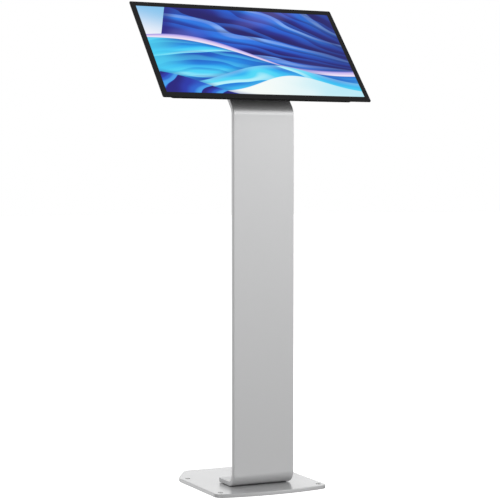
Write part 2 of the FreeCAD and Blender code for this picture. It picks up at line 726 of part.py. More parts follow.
# ================================================================ monitor inside
KW, KT = d("chassis_w"), d("chassis_thick")
KB = KW + KT
BW, BT = d("board_w"), d("board_thick")
corners = [(s * 225, v) for s in (-1, 1) for v in (45, 286)] + [(0, 45), (0, 286)]
made("chassis_plate", [box(-255, 255, KW, KB, 20, 311, True)], [box(88, 132, KW - 1, KB + 1, 256, 266, True)])
board_holes = [(x, v) for x in (85, 215) for v in (114, 235)] + [(x, v) for x in (-195, -85) for v in (125, 225)]
made("chassis_standoffs",
     [cyl("y", x, KB, v, 5.0, BB - 2 - KB, True) for x, v in vesa]
     + [cyl("y", x, KB, v, 3.5, BB - 2 - KB, True) for x, v in corners]
     + [cyl("y", x, KB, v, 3.0, BW - KB, True) for x, v in board_holes],
     [cyl("y", x, BB - 10, v, 2.0, 9, True) for x, v in vesa]
     + [cyl("y", x, BB - 18, v, 1.5, 17, True) for x, v in corners]
     + [cyl("y", x, BW - 8, v, 1.5, 9, True) for x, v in board_holes])


def on_board(x0, x1, v0, v1, high):
    return box(x0, x1, BW + BT, BW + BT + high, v0, v1, True)


made("main_board", [box(80, 220, BW, BW + BT, 109, 240, True), on_board(120, 150, 150, 180, 2.2), on_board(124, 146, 154, 176, 7.5),
                    on_board(160, 176, 150, 164, 1.4), on_board(160, 176, 168, 182, 1.4), on_board(98, 128, 228, 234, 2.0),
                    on_board(185, 205, 190, 196, 4), on_board(95, 101, 140, 146, 5)],
     [cyl("y", x, BW - 1, v, 1.6, 6, True) for x, v in board_holes[:4]])
made("power_board", [box(-200, -80, BW, BW + BT, 120, 230, True), on_board(-185, -165, 140, 160, 8), on_board(-150, -130, 140, 165, 8.5),
                     on_board(-120, -114, 150, 156, 8), on_board(-110, -104, 150, 156, 8), on_board(-185, -150, 205, 212, 5)],
     [cyl("y", x, BW - 1, v, 1.6, 6, True) for x, v in board_holes[4:]])
made("board_screws", [p for x, v in board_holes for p in (cyl("y", x, BW + BT, v, 2.8, 1.7, True), cyl("y", x, BW - 6, v, 1.45, BT + 6.1, True))])
made("touch_controller_board", [box(-30, 30, 12, 13.6, 62, 92, True), box(-10, 10, 13.6, 15, 70, 84, True), box(-24, -4, 10.6, 12, 62.6, 66, True)])
made("touch_flex", [box(-22, -6, GB + 0.22, KB + 0.4, 12.1, 12.4, True), box(-22, -6, KB + 0.2, KB + 0.4, 12.1, 62.4, True),
                    box(-22, -6, KB + 0.2, 10.5, 62.1, 62.4, True)])
made("display_cable", [box(100, 126, BW + BT + 2.1, BW + BT + 2.7, 229, 262, True), box(100, 126, KB + 0.1, BW + BT + 2.7, 261.4, 262, True)])
DC0 = BW + BT
made("power_inlet_jack", [box(92, 101, DC0, DC0 + 8, 106.3, 120, True)], [cyl("z", 96.5, DC0 + 4, 105, 2.9, 10, True)])
made("video_socket", [box(112, 127, DC0, DC0 + 5.6, 106.3, 118, True)], [box(112.6, 126.4, DC0 + 0.6, DC0 + 5.0, 105, 115, True)])
made("usb_socket", [box(138, 151.2, DC0, DC0 + 5.8, 106.3, 120, True)],
     [box(138.5, 150.7, DC0 + 3.4, DC0 + 5.3, 105, 117, True), box(138.5, 150.7, DC0 + 0.5, DC0 + 1.6, 105, 117, True),
      box(138.5, 139.5, DC0 + 0.5, DC0 + 5.3, 105, 117, True), box(149.7, 150.7, DC0 + 0.5, DC0 + 5.3, 105, 117, True)])
made("audio_jack", [box(163, 170, DC0, DC0 + 6, 106.3, 119, True)], [cyl("z", 166.5, DC0 + 3, 105, 1.8, 12, True)])
for side, s in (("left", -1), ("right", 1)):
    xa, xb = sorted((s * 95, s * 165))
    made("speaker_" + side, [box(xa, xb, 12, 28, 30, 56, True), box(xa + 10, xb - 10, 13, 27, 28.2, 30, True)])

# menu keys on the right-hand side of the box, and the board with their switches
key_names = ["power_key", "menu_key", "source_key", "plus_key", "minus_key"]
key_v = [d("key_first") + d("key_pitch") * i for i in range(5)]
XB = MW / 2 - d("box_inset_side")
made("key_board", [box(XB - 9.6, XB - 8, 14, 28, 120, 212, True)])
made("key_switches", [box(XB - 8, XB - 7.2, 18, 24, v - 3, v + 3, True) for v in key_v]
     + [cyl("x", XB - 7.3, 21, v, 1.6, 0.6, True) for v in key_v])
for name, v in zip(key_names, key_v):
    made(name, [box(XB - 5.0, XB - 2.6, 16.6, 25.4, v - 7.4, v + 7.4, True), box(XB - 2.7, XB + 0.9, 18, 24, v - 6, v + 6, True),
                box(XB - 5.8, XB - 4.9, 20, 22, v - 1, v + 1, True)])

# ================================================================ rear housing
SI, EI = d("box_inset_side"), d("box_inset_end")
SW, SHI, WL = d("shelf_w"), d("shelf_inset"), d("wall")


def ring(inset):
    return (-(MW / 2 - inset), MW / 2 - inset, inset, MH - inset)


def leaning_point(p):
    y, z = p.y - d("glass_y").value, p.z - d("glass_z").value
    return Vector(p.x, y * COS.value - z * SIN.value, y * SIN.value + z * COS.value)


outer_box = box(-(MW / 2 - SI), MW / 2 - SI, SW - 1.5, BB, EI, MH - EI, True)
rounded = round_edges(outer_box, 5.0, lambda p: leaning_point(p).y > BB.value - 0.01)
ow0, ow1 = ring(q(1.2)), ring(SHI)
skirt = wedge(*ow0, *ow1, FD, SW)
iw0, iw1 = ring(q(3.0)), ring(q(11.7))
inner_skirt = wedge(*iw0, *iw1, FD - 0.0, SW - 1.8)
bay = (q(75), q(205), q(62), q(106))  # x, x, v, v of the socket bay
inner_box = cut(box(-(MW / 2 - SI - WL), MW / 2 - SI - WL, SW - 1.9, BB - WL, EI + WL, MH - EI - WL, True),
                [box(bay[0] - WL, bay[1] + WL, 19, BB + 1, bay[2] - WL, bay[3] + WL, True)])
vents = [box(x0, x0 + 70, BB - 5, BB + 1, v, v + 2.4, True) for x0 in (-200, 130) for v in [258 + 5 * i for i in range(7)]]
sound = [box(s * 130 - 27 + 6 * i, s * 130 - 24 + 6 * i, 16, 24, EI.value - 1, EI.value + WL.value + 0.5, True) for s in (-1, 1) for i in range(10)]
housing = cut(fuse([rounded, skirt]), [inner_skirt, inner_box,
              box(bay[0], bay[1], 21, BB + 1, bay[2], bay[3], True),
              box(91.8, 101.2, 21.2, 29.9, 105, 109, True), box(111.8, 127.2, 21.2, 27.5, 105, 109, True),
              box(137.8, 151.4, 21.2, 27.7, 105, 109, True), box(162.8, 170.2, 21.2, 27.9, 105, 109, True)]
              + [cyl("y", x, BB - 4, v, 2.3, 6, True) for x, v in vesa]
              + [cyl("y", x, BB - 4, v, 1.7, 6, True) for x, v in corners]
              + [box(XB - 4, XB + 2, 17.85, 24.15, v - 6.15, v + 6.15, True) for v in key_v]
              + vents + sound)
node(housing, "rear_housing")
made("housing_screws", [p for x, v in corners for p in (cyl("y", x, BB, v, 2.9, 1.6, True), cyl("y", x, BB - 14, v, 1.45, 14.1, True))],
     [hexagon("y", x, BB + 0.7, v, 1.3, 2, True) for x, v in corners])

# ================================================================ checks and files
doc.recompute()
for o in doc.Objects:
    if "Invalid" in o.State or "Error" in o.State:
        raise RuntimeError("%s (%s) failed: %s" % (o.Name, o.Label, o.State))
for label, o in NODES.items():
    if o.Shape.isNull() or not o.Shape.isValid():
        raise RuntimeError("%s has no valid shape" % label)
    if not o.Shape.Solids:
        raise RuntimeError("%s has no solid" % label)

os.makedirs("parts", exist_ok=True)
for label, o in NODES.items():
    o.Shape.exportStep(os.path.join("parts", label + ".step"))
total = sum(o.Shape.Volume for o in NODES.values())
print("%d sub-parts, %.0f cm3" % (len(NODES), total / 1000))
for label, o in NODES.items():
    bb = o.Shape.BoundBox
    print("%-24s %2d solids %9.2f cm3  x %.1f..%.1f y %.1f..%.1f z %.1f..%.1f" % (
        label, len(o.Shape.Solids), o.Shape.Volume / 1000, bb.XMin, bb.XMax, bb.YMin, bb.YMax, bb.ZMin, bb.ZMax))
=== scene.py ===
import json
import math

import bmesh
import bpy
from mathutils import Matrix, Vector

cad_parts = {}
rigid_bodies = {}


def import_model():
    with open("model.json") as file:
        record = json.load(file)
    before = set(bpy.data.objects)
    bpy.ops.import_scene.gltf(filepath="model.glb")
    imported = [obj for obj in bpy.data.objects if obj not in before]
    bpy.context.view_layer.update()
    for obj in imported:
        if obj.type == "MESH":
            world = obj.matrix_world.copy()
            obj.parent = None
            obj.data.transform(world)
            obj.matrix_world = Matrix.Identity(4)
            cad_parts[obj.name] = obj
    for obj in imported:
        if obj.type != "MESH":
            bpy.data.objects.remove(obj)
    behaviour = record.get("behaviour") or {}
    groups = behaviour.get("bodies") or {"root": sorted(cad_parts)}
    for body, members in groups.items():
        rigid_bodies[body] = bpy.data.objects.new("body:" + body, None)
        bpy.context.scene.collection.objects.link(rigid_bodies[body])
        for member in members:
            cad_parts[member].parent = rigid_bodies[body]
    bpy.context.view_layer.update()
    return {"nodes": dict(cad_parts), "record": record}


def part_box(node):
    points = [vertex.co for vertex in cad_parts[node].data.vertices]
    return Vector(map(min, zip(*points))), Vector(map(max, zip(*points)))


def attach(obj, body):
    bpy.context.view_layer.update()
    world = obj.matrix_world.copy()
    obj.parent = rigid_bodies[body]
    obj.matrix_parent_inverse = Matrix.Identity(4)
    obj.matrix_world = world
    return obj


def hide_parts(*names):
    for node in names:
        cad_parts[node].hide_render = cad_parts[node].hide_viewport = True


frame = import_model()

MM = 0.001
scene = bpy.context.scene

# ------------------------------------------------------------------ the frame's own numbers (mm)
TILT = math.radians(42.2)
S, C = math.sin(TILT), math.cos(TILT)
lo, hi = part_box("column_front_shell")
YC = lo.y / MM                     # column's front plane
FOOT = lo.z / MM                   # underside of the foot
HALF_W = hi.x / MM                 # half the column's width
RB, FB, CD, FOOT_L, TOP, HEAD_L = 38.0, 30.0, 11.0, 86.0, 922.0, 213.0
lo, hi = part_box("front_frame")
MW, MH = (hi.x - lo.x) / MM, 331.0
GY, GZ = -139.25, 960.4            # monitor's lower front edge
HEAD_W = (YC + RB * (1 - C) - GY) * C - (TOP + RB * S - GZ) * S
HEAD_V = (YC + RB * (1 - C) - GY) * S + (TOP + RB * S - GZ) * C


def mon(x, w, v):
    """A point of the monitor: across, into it from the glass, up the glass (mm) -> the row frame (m)."""
    return Vector((x * MM, (GY + w * C + v * S) * MM, (GZ - w * S + v * C) * MM))


# ------------------------------------------------------------------ node graphs
class Graph:
    def __init__(self, tree):
        self.t = tree
        self.n, self.l = tree.nodes, tree.links

    def put(self, socket, value):
        if isinstance(value, bpy.types.NodeSocket):
            self.l.new(value, socket)
        elif value is not None:
            socket.default_value = value

    def node(self, kind, **props):
        n = self.n.new(kind)
        for k, v in props.items():
            setattr(n, k, v)
        return n

    def math(self, op, a, b=None, c=None, clamp=False):
        n = self.node("ShaderNodeMath", operation=op, use_clamp=clamp)
        for i, v in enumerate((a, b, c)):
            if v is not None:
                self.put(n.inputs[i], v)
        return n.outputs[0]

    def add(self, a, b): return self.math("ADD", a, b)
    def sub(self, a, b): return self.math("SUBTRACT", a, b)
    def mul(self, a, b): return self.math("MULTIPLY", a, b)
    def sin(self, a): return self.math("SINE", a)

    def step(self, x, lo_, hi_, out_lo=0.0, out_hi=1.0, smooth=True):
        n = self.node("ShaderNodeMapRange", interpolation_type="SMOOTHSTEP" if smooth else "LINEAR")
        for i, v in enumerate((x, lo_, hi_, out_lo, out_hi)):
            self.put(n.inputs[i], v)
        return n.outputs[0]

    def mix(self, fac, a, b, blend="MIX"):
        n = self.node("ShaderNodeMix", data_type="RGBA", blend_type=blend)
        n.clamp_factor = True
        self.put(n.inputs[0], fac)
        for i, v in ((6, a), (7, b)):
            if isinstance(v, (tuple, list)):
                v = (*v[:3], 1.0)
            self.put(n.inputs[i], v)
        return n.outputs[2]

    def mixf(self, fac, a, b):
        n = self.node("ShaderNodeMix", data_type="FLOAT")
        self.put(n.inputs[0], fac)
        self.put(n.inputs[2], a)
        self.put(n.inputs[3], b)
        return n.outputs[0]

    def xyz(self, x=0.0, y=0.0, z=0.0):
        n = self.node("ShaderNodeCombineXYZ")
        for i, v in enumerate((x, y, z)):
            self.put(n.inputs[i], v)
        return n.outputs[0]

    def split(self, v):
        n = self.node("ShaderNodeSeparateXYZ")
        self.put(n.inputs[0], v)
        return n.outputs

    def scale(self, v, k):
        n = self.node("ShaderNodeVectorMath", operation="MULTIPLY")
        self.put(n.inputs[0], v)
        n.inputs[1].default_value = k if isinstance(k, tuple) else (k, k, k)
        return n.outputs[0]

    def obj(self):
        return self.node("ShaderNodeTexCoord").outputs["Object"]

    def noise(self, v, scale, detail=2.0, rough=0.5, distort=0.0):
        n = self.node("ShaderNodeTexNoise")
        self.put(n.inputs["Vector"], v)
        self.put(n.inputs["Scale"], scale)
        n.inputs["Detail"].default_value = detail
        n.inputs["Roughness"].default_value = rough
        n.inputs["Distortion"].default_value = distort
        return n.outputs["Fac"]

    def voronoi(self, v, scale, feature="F1", out="Distance"):
        n = self.node("ShaderNodeTexVoronoi", feature=feature)
        self.put(n.inputs["Vector"], v)
        n.inputs["Scale"].default_value = scale
        return n.outputs[out]

    def bump(self, height, strength, distance, normal=None):
        n = self.node("ShaderNodeBump")
        n.inputs["Strength"].default_value = strength
        n.inputs["Distance"].default_value = distance
        self.put(n.inputs["Height"], height)
        if normal is not None:
            self.put(n.inputs["Normal"], normal)
        return n.outputs[0]


def material(name):
    m = bpy.data.materials.new(name)
    m.use_nodes = True
    g = Graph(m.node_tree)
    p = m.node_tree.nodes["Principled BSDF"]
    return m, g, p


def edge_mask(g, radius=0.0012, low=0.9, high=0.995):
    """1 on sharp edges, 0 on flats: the finishes below lighten their colour there."""
    b = g.node("ShaderNodeBevel", samples=6)
    b.inputs["Radius"].default_value = radius
    geo = g.node("ShaderNodeNewGeometry")
    dot = g.node("ShaderNodeVectorMath", operation="DOT_PRODUCT")
    g.put(dot.inputs[0], b.outputs[0])
    g.put(dot.inputs[1], geo.outputs["Normal"])
    return g.step(dot.outputs["Value"], high, low)


def silver_paint(name="satin_silver", rough=0.335):
    m, g, p = material(name)
    o = g.obj()
    cloud = g.noise(o, 3.1, 3.0, 0.55)
    speck = g.noise(o, 1900.0, 1.0, 0.5)
    peel = g.noise(o, 520.0, 2.0, 0.45)
    smear = g.noise(g.scale(o, (1.0, 1.0, 0.25)), 24.0, 3.0, 0.6)
    base = g.mix(cloud, (0.572, 0.574, 0.578), (0.588, 0.590, 0.594))
    base = g.mix(g.step(speck, 0.35, 0.75), base, (0.66, 0.662, 0.668))
    g.put(p.inputs["Base Color"], base)
    p.inputs["Metallic"].default_value = 0.46
    rough = g.add(g.step(smear, 0.3, 0.7, rough, rough + 0.015), g.step(speck, 0.3, 0.7, -0.012, 0.015))
    g.put(p.inputs["Roughness"], rough)
    n1 = g.bump(peel, 0.05, 0.0003)
    g.put(p.inputs["Normal"], g.bump(speck, 0.05, 0.0001, n1))
    return m


def black_frame():
    m, g, p = material("black_anodised")
    o = g.obj()
    grain = g.noise(g.scale(o, (0.15, 1.0, 1.0)), 2600.0, 2.0, 0.6)
    cloud = g.noise(o, 11.0, 2.0)
    e = edge_mask(g, 0.0008)
    base = g.mix(cloud, (0.007, 0.007, 0.008), (0.011, 0.011, 0.012))
    g.put(p.inputs["Base Color"], g.mix(g.mul(e, 0.22), base, (0.08, 0.08, 0.085)))
    p.inputs["Specular IOR Level"].default_value = 0.38
    p.inputs["Metallic"].default_value = 0.5
    g.put(p.inputs["Roughness"], g.step(grain, 0.3, 0.7, 0.30, 0.42))
    g.put(p.inputs["Normal"], g.bump(grain, 0.04, 0.0001))
    return m


def ramp(g, fac, *stops):
    """Colour through (position, colour) stops, eased between them."""
    col = stops[0][1]
    for (p0, _), (p1, c) in zip(stops, stops[1:]):
        col = g.mix(g.step(fac, p0, p1), col, c)
    return col


def pleats(g, s):
    """Cloth laid in pleats across s: each brightens slowly to its edge, then drops into the next one's shadow."""
    fr = g.math("FRACT", s)
    return g.mul(g.step(fr, 0.0, 0.93), g.step(fr, 1.0, 0.955))


def screen_glass():
    """Polished cover glass: a printed black border, and the lit picture behind the clear middle.
    The picture is a plain abstract of layered waves, worked out from the position on the glass."""
    m, g, p = material("screen_glass")
    o = g.obj()
    x, y, z = g.split(o)
    u = g.add(g.math("DIVIDE", x, 0.533), 0.5)
    up = g.add(g.mul(g.add(y, -GY * MM), S), g.mul(g.add(z, -GZ * MM), C))
    v = g.math("DIVIDE", g.add(up, -0.0157), 0.2999)

    def cloud(ku, kv, seed, scale=1.0, detail=1.0):
        return g.sub(g.noise(g.xyz(g.mul(u, ku), g.mul(v, kv), seed), scale, detail), 0.5)

    def below(curve, soft=0.004):
        return g.step(g.sub(v, curve), soft, -soft)

    # layered waves, from the far one to the near one; pale evening sky behind them
    col = ramp(g, g.add(v, g.mul(u, 0.55)), (0.34, (0.84, 0.70, 0.91)), (0.60, (0.93, 0.93, 0.985)), (1.04, (0.26, 0.57, 0.87)))
    # far wave: dark, its pleats fanning out from low on the right
    c1 = g.add(g.add(0.310, g.mul(g.step(u, -0.04, 0.26), 1.05)), g.mul(g.sin(g.mul(u, 21.0)), 0.010))
    d1 = g.sub(c1, v)
    fan = g.math("ARCTAN2", g.sub(v, 0.22), g.sub(1.36, u))
    p1 = pleats(g, g.add(g.mul(fan, 3.9), g.mul(cloud(1.0, 1.6, 3.0, 1.7, 1.0), 1.5)))
    drape = ramp(g, p1, (0.0, (0.012, 0.008, 0.125)), (0.30, (0.016, 0.022, 0.26)), (0.62, (0.012, 0.085, 0.56)), (0.93, (0.020, 0.200, 0.80)), (1.0, (0.22, 0.42, 0.90)))
    p2 = pleats(g, g.add(g.mul(fan, 8.7), g.mul(cloud(1.3, 2.0, 11.0, 2.1, 1.0), 1.7)))
    drape = g.mix(g.mul(g.step(p2, 0.50, 1.0), 0.50), drape, (0.020, 0.140, 0.72))
    drape = g.mix(g.mul(g.step(p2, 0.42, 0.0), 0.50), drape, (0.012, 0.008, 0.15))
    glow = g.step(cloud(2.0, 2.6, 21.0, 1.3, 0.0), 0.03, 0.22)
    drape = g.mix(g.mul(glow, 0.20), drape, (0.26, 0.24, 0.74))
    drape = g.mix(g.mul(g.step(g.add(u, g.mul(v, -0.20)), 0.52, 0.92), 0.66), drape, (0.016, 0.018, 0.165))
    drape = g.mix(g.mul(g.step(d1, 0.34, 0.03), 0.70), drape, (0.018, 0.010, 0.22))
    col = g.mix(below(c1), col, drape)
    # second wave: bright blue, with a lilac light along its crest
    c2 = g.add(g.add(0.600, g.mul(u, -0.335)), g.mul(g.sin(g.add(g.mul(u, 5.6), 0.35)), 0.075))
    d = g.sub(v, c2)
    fold_w = g.add(0.012, g.mul(g.math("ABSOLUTE", g.sin(g.add(g.mul(u, 4.2), 0.5))), 0.045))
    above = g.math("DIVIDE", d, fold_w)
    fold_ = ramp(g, above, (0.0, (0.95, 0.86, 0.96)), (0.55, (0.70, 0.58, 0.90)), (1.0, (0.30, 0.26, 0.74)))
    col = g.mix(g.step(above, 1.08, 0.94), col, fold_)
    p3 = pleats(g, g.add(g.add(g.mul(d, -4.1), g.mul(u, 1.55)), g.mul(cloud(1.5, 2.2, 5.0, 1.5, 1.0), 1.9)))
    wave = ramp(g, p3, (0.0, (0.008, 0.085, 0.50)), (0.35, (0.008, 0.20, 0.72)), (0.70, (0.015, 0.40, 0.90)), (0.95, (0.07, 0.66, 0.96)), (1.0, (0.34, 0.84, 0.98)))
    p4 = pleats(g, g.add(g.add(g.mul(d, -10.5), g.mul(u, 2.8)), g.mul(cloud(2.2, 2.8, 31.0, 1.6, 1.0), 2.2)))
    wave = g.mix(g.mul(g.step(p4, 0.5, 1.0), 0.36), wave, (0.10, 0.68, 0.96))
    wave = g.mix(g.mul(g.step(p4, 0.38, 0.0), 0.36), wave, (0.008, 0.13, 0.58))
    wave = g.mix(g.mul(g.step(u, 0.50, 0.88), 0.55), wave, (0.022, 0.150, 0.66))
    wave = g.mix(g.mul(g.step(d, -0.05, 0.0), 0.55), wave, (0.010, 0.13, 0.55))
    wave = g.mix(g.mul(g.step(u, 0.22, 0.0), 0.75), wave, (0.07, 0.68, 0.93))
    col = g.mix(below(c2), col, wave)
    # third wave: cyan, running the other way
    c3 = g.add(g.add(0.215, g.mul(u, 0.040)), g.mul(g.sin(g.add(g.mul(u, 6.6), 4.1)), 0.105))
    d3 = g.sub(v, c3)
    p5 = pleats(g, g.add(g.add(g.mul(d3, -5.2), g.mul(u, -1.9)), g.mul(cloud(1.8, 2.0, 57.0, 1.6, 1.0), 1.8)))
    near = ramp(g, p5, (0.0, (0.010, 0.20, 0.72)), (0.40, (0.020, 0.44, 0.90)), (0.85, (0.08, 0.70, 0.95)), (1.0, (0.50, 0.90, 0.98)))
    near = g.mix(g.mul(g.step(d3, -0.06, 0.0), 0.35), near, (0.42, 0.86, 0.97))
    col = g.mix(g.mul(g.step(d3, 0.060, 0.0), 0.45), col, (0.010, 0.12, 0.52))
    col = g.mix(below(c3), col, near)
    # fourth wave: pale, low and wide, over to the right
    c4 = g.add(g.add(0.015, g.mul(g.math("EXPONENT", g.mul(g.math("POWER", g.math("DIVIDE", g.sub(u, 0.68), 0.26), 2.0), -1.0)), 0.205)), g.mul(g.sin(g.mul(u, 13.0)), 0.010))
    pale = g.mix(g.step(u, 0.45, 1.0), (0.94, 0.985, 0.955), (0.44, 0.82, 0.95))
    pale = g.mix(g.mul(g.step(cloud(1.0, 1.0, 9.0, 3.0, 2.0), -0.10, 0.20), 0.5), pale, (0.975, 0.99, 0.995))
    col = g.mix(g.mul(g.step(g.sub(v, c4), 0.075, 0.0), 0.50), col, (0.06, 0.60, 0.92))
    col = g.mix(below(c4), col, pale)
    # near fold, dark, low on the left
    c5 = g.add(g.add(0.235, g.mul(u, -0.62)), g.mul(g.sin(g.mul(u, 15.0)), 0.016))
    p6 = pleats(g, g.add(g.add(g.mul(u, 7.5), g.mul(v, -4.6)), g.mul(cloud(2.0, 2.0, 41.0, 1.8, 1.0), 2.4)))
    fold = ramp(g, p6, (0.0, (0.014, 0.010, 0.20)), (0.40, (0.018, 0.035, 0.40)), (0.80, (0.020, 0.125, 0.64)), (1.0, (0.06, 0.36, 0.86)))
    col = g.mix(g.mul(g.step(g.sub(v, c5), 0.050, 0.0), 0.45), col, (0.012, 0.10, 0.46))
    col = g.mix(below(c5), col, fold)
    # lit area and border
    inside = g.mul(g.mul(g.step(u, 0.0, 0.0006, smooth=False), g.step(u, 1.0, 0.9994, smooth=False)),
                   g.mul(g.step(v, 0.0, 0.001, smooth=False), g.step(v, 1.0, 0.999, smooth=False)))
    smudge = g.noise(g.scale(o, 1.0), 38.0, 4.0, 0.65, 0.8)
    base = g.mix(inside, (0.0085, 0.0085, 0.009), (0.004, 0.004, 0.005))
    g.put(p.inputs["Base Color"], base)
    g.put(p.inputs["Roughness"], g.step(smudge, 0.45, 0.75, 0.035, 0.12))
    p.inputs["IOR"].default_value = 1.5
    g.put(p.inputs["Emission Color"], col)
    g.put(p.inputs["Emission Strength"], g.mul(inside, 0.97))
    return m


def moulded_black(name="black_moulding", dark=0.018, grain_scale=1500.0):
    m, g, p = material(name)
    o = g.obj()
    cells = g.voronoi(o, grain_scale)
    grain = g.noise(o, grain_scale * 0.8, 2.0, 0.6)
    cloud = g.noise(o, 9.0, 3.0)
    e = edge_mask(g, 0.0010)
    base = g.mix(cloud, (dark, dark, dark * 1.05), (dark * 1.5, dark * 1.5, dark * 1.6))
    g.put(p.inputs["Base Color"], g.mix(g.mul(e, 0.35), base, (0.07, 0.07, 0.073)))
    g.put(p.inputs["Roughness"], g.add(g.step(grain, 0.3, 0.7, 0.48, 0.62), g.mul(e, -0.12)))
    h = g.add(g.mul(cells, 0.7), g.mul(grain, 0.5))
    g.put(p.inputs["Normal"], g.bump(h, 0.18, 0.0002))
    return m


def rubber():
    m, g, p = material("black_rubber")
    o = g.obj()
    grain = g.noise(o, 900.0, 3.0, 0.6)
    dust = g.noise(o, 55.0, 4.0, 0.7)
    base = g.mix(g.step(dust, 0.45, 0.75), (0.016, 0.016, 0.016), (0.045, 0.044, 0.042))
    g.put(p.inputs["Base Color"], base)
    g.put(p.inputs["Roughness"], g.step(grain, 0.3, 0.7, 0.72, 0.88))
    g.put(p.inputs["Normal"], g.bump(grain, 0.25, 0.0002))
    return m


def zinc(name="zinc_plate", tint=(0.62, 0.62, 0.60)):
    m, g, p = material(name)
    o = g.obj()
    flakes = g.voronoi(o, 420.0, "F1", "Color")
    r, _, _ = g.split(flakes)
    brush = g.noise(g.scale(o, (1.0, 1.0, 0.08)), 1800.0, 2.0, 0.6)
    cloud = g.noise(o, 60.0, 3.0)
    base = g.mix(r, tint, tuple(min(1.0, c * 1.13) for c in tint))
    base = g.mix(g.mul(g.step(cloud, 0.5, 0.8), 0.5), base, (0.60, 0.57, 0.48))
    g.put(p.inputs["Base Color"], base)
    p.inputs["Metallic"].default_value = 1.0
    g.put(p.inputs["Roughness"], g.add(g.step(brush, 0.3, 0.7, 0.22, 0.38), g.mul(r, 0.06)))
    g.put(p.inputs["Normal"], g.bump(brush, 0.06, 0.0001))
    return m


def black_steel():
    m, g, p = material("black_powder_coat")
    o = g.obj()
    peel = g.noise(o, 650.0, 2.0, 0.5)
    cells = g.voronoi(o, 1100.0)
    e = edge_mask(g, 0.0010)
    base = g.mix(peel, (0.020, 0.020, 0.021), (0.032, 0.032, 0.034))
    g.put(p.inputs["Base Color"], g.mix(g.mul(e, 0.3), base, (0.10, 0.10, 0.10)))
    g.put(p.inputs["Roughness"], g.step(peel, 0.3, 0.7, 0.40, 0.55))
    g.put(p.inputs["Normal"], g.bump(g.add(peel, g.mul(cells, 0.4)), 0.2, 0.0003))
    return m


def circuit():
    m, g, p = material("circuit_board")
    o = g.obj()
    br = g.node("ShaderNodeTexBrick")
    g.put(br.inputs["Vector"], g.scale(o, (1.0, 1.0, 1.0)))
    br.inputs["Scale"].default_value = 260.0
    br.inputs["Mortar Size"].default_value = 0.035
    br.inputs["Color1"].default_value = (0.010, 0.075, 0.030, 1)
    br.inputs["Color2"].default_value = (0.014, 0.100, 0.040, 1)
    br.inputs["Mortar"].default_value = (0.030, 0.190, 0.080, 1)
    dots = g.voronoi(o, 300.0)
    pads = g.step(dots, 0.16, 0.12)
    base = g.mix(pads, br.outputs["Color"], (0.62, 0.60, 0.52))
    g.put(p.inputs["Base Color"], base)
    g.put(p.inputs["Metallic"], g.mul(pads, 0.9))
    g.put(p.inputs["Roughness"], g.mixf(pads, 0.34, 0.28))
    g.put(p.inputs["Normal"], g.bump(br.outputs["Fac"], 0.2, 0.0001))
    return m


def film():
    m, g, p = material("optical_film")
    o = g.obj()
    micro = g.noise(o, 2200.0, 1.0)
    cloud = g.noise(o, 6.0, 2.0)
    g.put(p.inputs["Base Color"], g.mix(cloud, (0.70, 0.73, 0.76), (0.80, 0.82, 0.84)))
    g.put(p.inputs["Roughness"], g.step(micro, 0.3, 0.7, 0.18, 0.32))
    g.put(p.inputs["Normal"], g.bump(micro, 0.05, 0.0001))
    return m


def cell_dark():
    m, g, p = material("display_cell_dark")
    o = g.obj()
    x, y, z = g.split(o)
    grid = g.math("MULTIPLY", g.math("ABSOLUTE", g.sin(g.mul(x, 11000.0))), g.math("ABSOLUTE", g.sin(g.mul(z, 14000.0))))
    g.put(p.inputs["Base Color"], g.mix(grid, (0.010, 0.010, 0.013), (0.022, 0.022, 0.030)))
    g.put(p.inputs["Roughness"], g.step(g.noise(o, 40.0, 3.0), 0.3, 0.7, 0.05, 0.12))
    return m


def foam():
    m, g, p = material("foam_tape")
    o = g.obj()
    cells = g.voronoi(o, 1400.0)
    g.put(p.inputs["Base Color"], g.mix(cells, (0.020, 0.020, 0.020), (0.060, 0.060, 0.060)))
    g.put(p.inputs["Roughness"], g.step(cells, 0.1, 0.8, 0.95, 0.8))
    g.put(p.inputs["Normal"], g.bump(cells, 0.4, 0.0003))
    return m


def ribbon():
    m, g, p = material("flexible_circuit")
    o = g.obj()
    x, y, z = g.split(o)
    lines = g.step(g.sin(g.mul(x, 5200.0)), -0.1, 0.3)
    g.put(p.inputs["Base Color"], g.mix(lines, (0.42, 0.21, 0.06), (0.62, 0.40, 0.16)))
    g.put(p.inputs["Metallic"], g.mul(lines, 0.5))
    g.put(p.inputs["Roughness"], g.step(g.noise(o, 300.0, 2.0), 0.3, 0.7, 0.30, 0.45))
    g.put(p.inputs["Normal"], g.bump(lines, 0.15, 0.0001))
    return m


# Dark finish used as painted shade: it colours the walls of the plate's tapped holes and the flanks of the levelling
# screws, standing for the shade in those recesses.
def painted_shade_dark():
    m, g, p = material("painted_shade_dark")
    o = g.obj()
    cloud = g.noise(o, 260.0, 3.0, 0.6)
    fine = g.noise(o, 2400.0, 2.0, 0.6)
    e = edge_mask(g, 0.0004)
    base = g.mix(cloud, (0.010, 0.010, 0.011), (0.022, 0.021, 0.021))
    g.put(p.inputs["Base Color"], g.mix(g.mul(e, 0.3), base, (0.12, 0.12, 0.12)))
    p.inputs["Metallic"].default_value = 0.6
    g.put(p.inputs["Roughness"], g.step(fine, 0.3, 0.7, 0.38, 0.52))
    g.put(p.inputs["Normal"], g.bump(fine, 0.08, 0.0001))
    return m


PAINTED_SHADE_FINISH = painted_shade_dark()
MAT = {
    "silver_paint": silver_paint(), "black_frame": black_frame(), "cover_glass": screen_glass(),
    "black_plastic": moulded_black(), "key_plastic": moulded_black("key_moulding", 0.026, 2600.0),
    "zinc_steel": zinc(), "black_steel": black_steel(), "dark_rubber": rubber(), "display_film": film(),
    "display_dark": cell_dark(), "circuit_board": circuit(), "socket_metal": zinc("nickel_shell", (0.66, 0.65, 0.62)),
    "adhesive": foam(), "ribbon": ribbon(),
}

# ------------------------------------------------------------------ mesh tools


def smooth(mesh, degrees=32.0):
    mesh.set_sharp_from_angle(angle=math.radians(degrees))
    for poly in mesh.polygons:
        poly.use_smooth = True


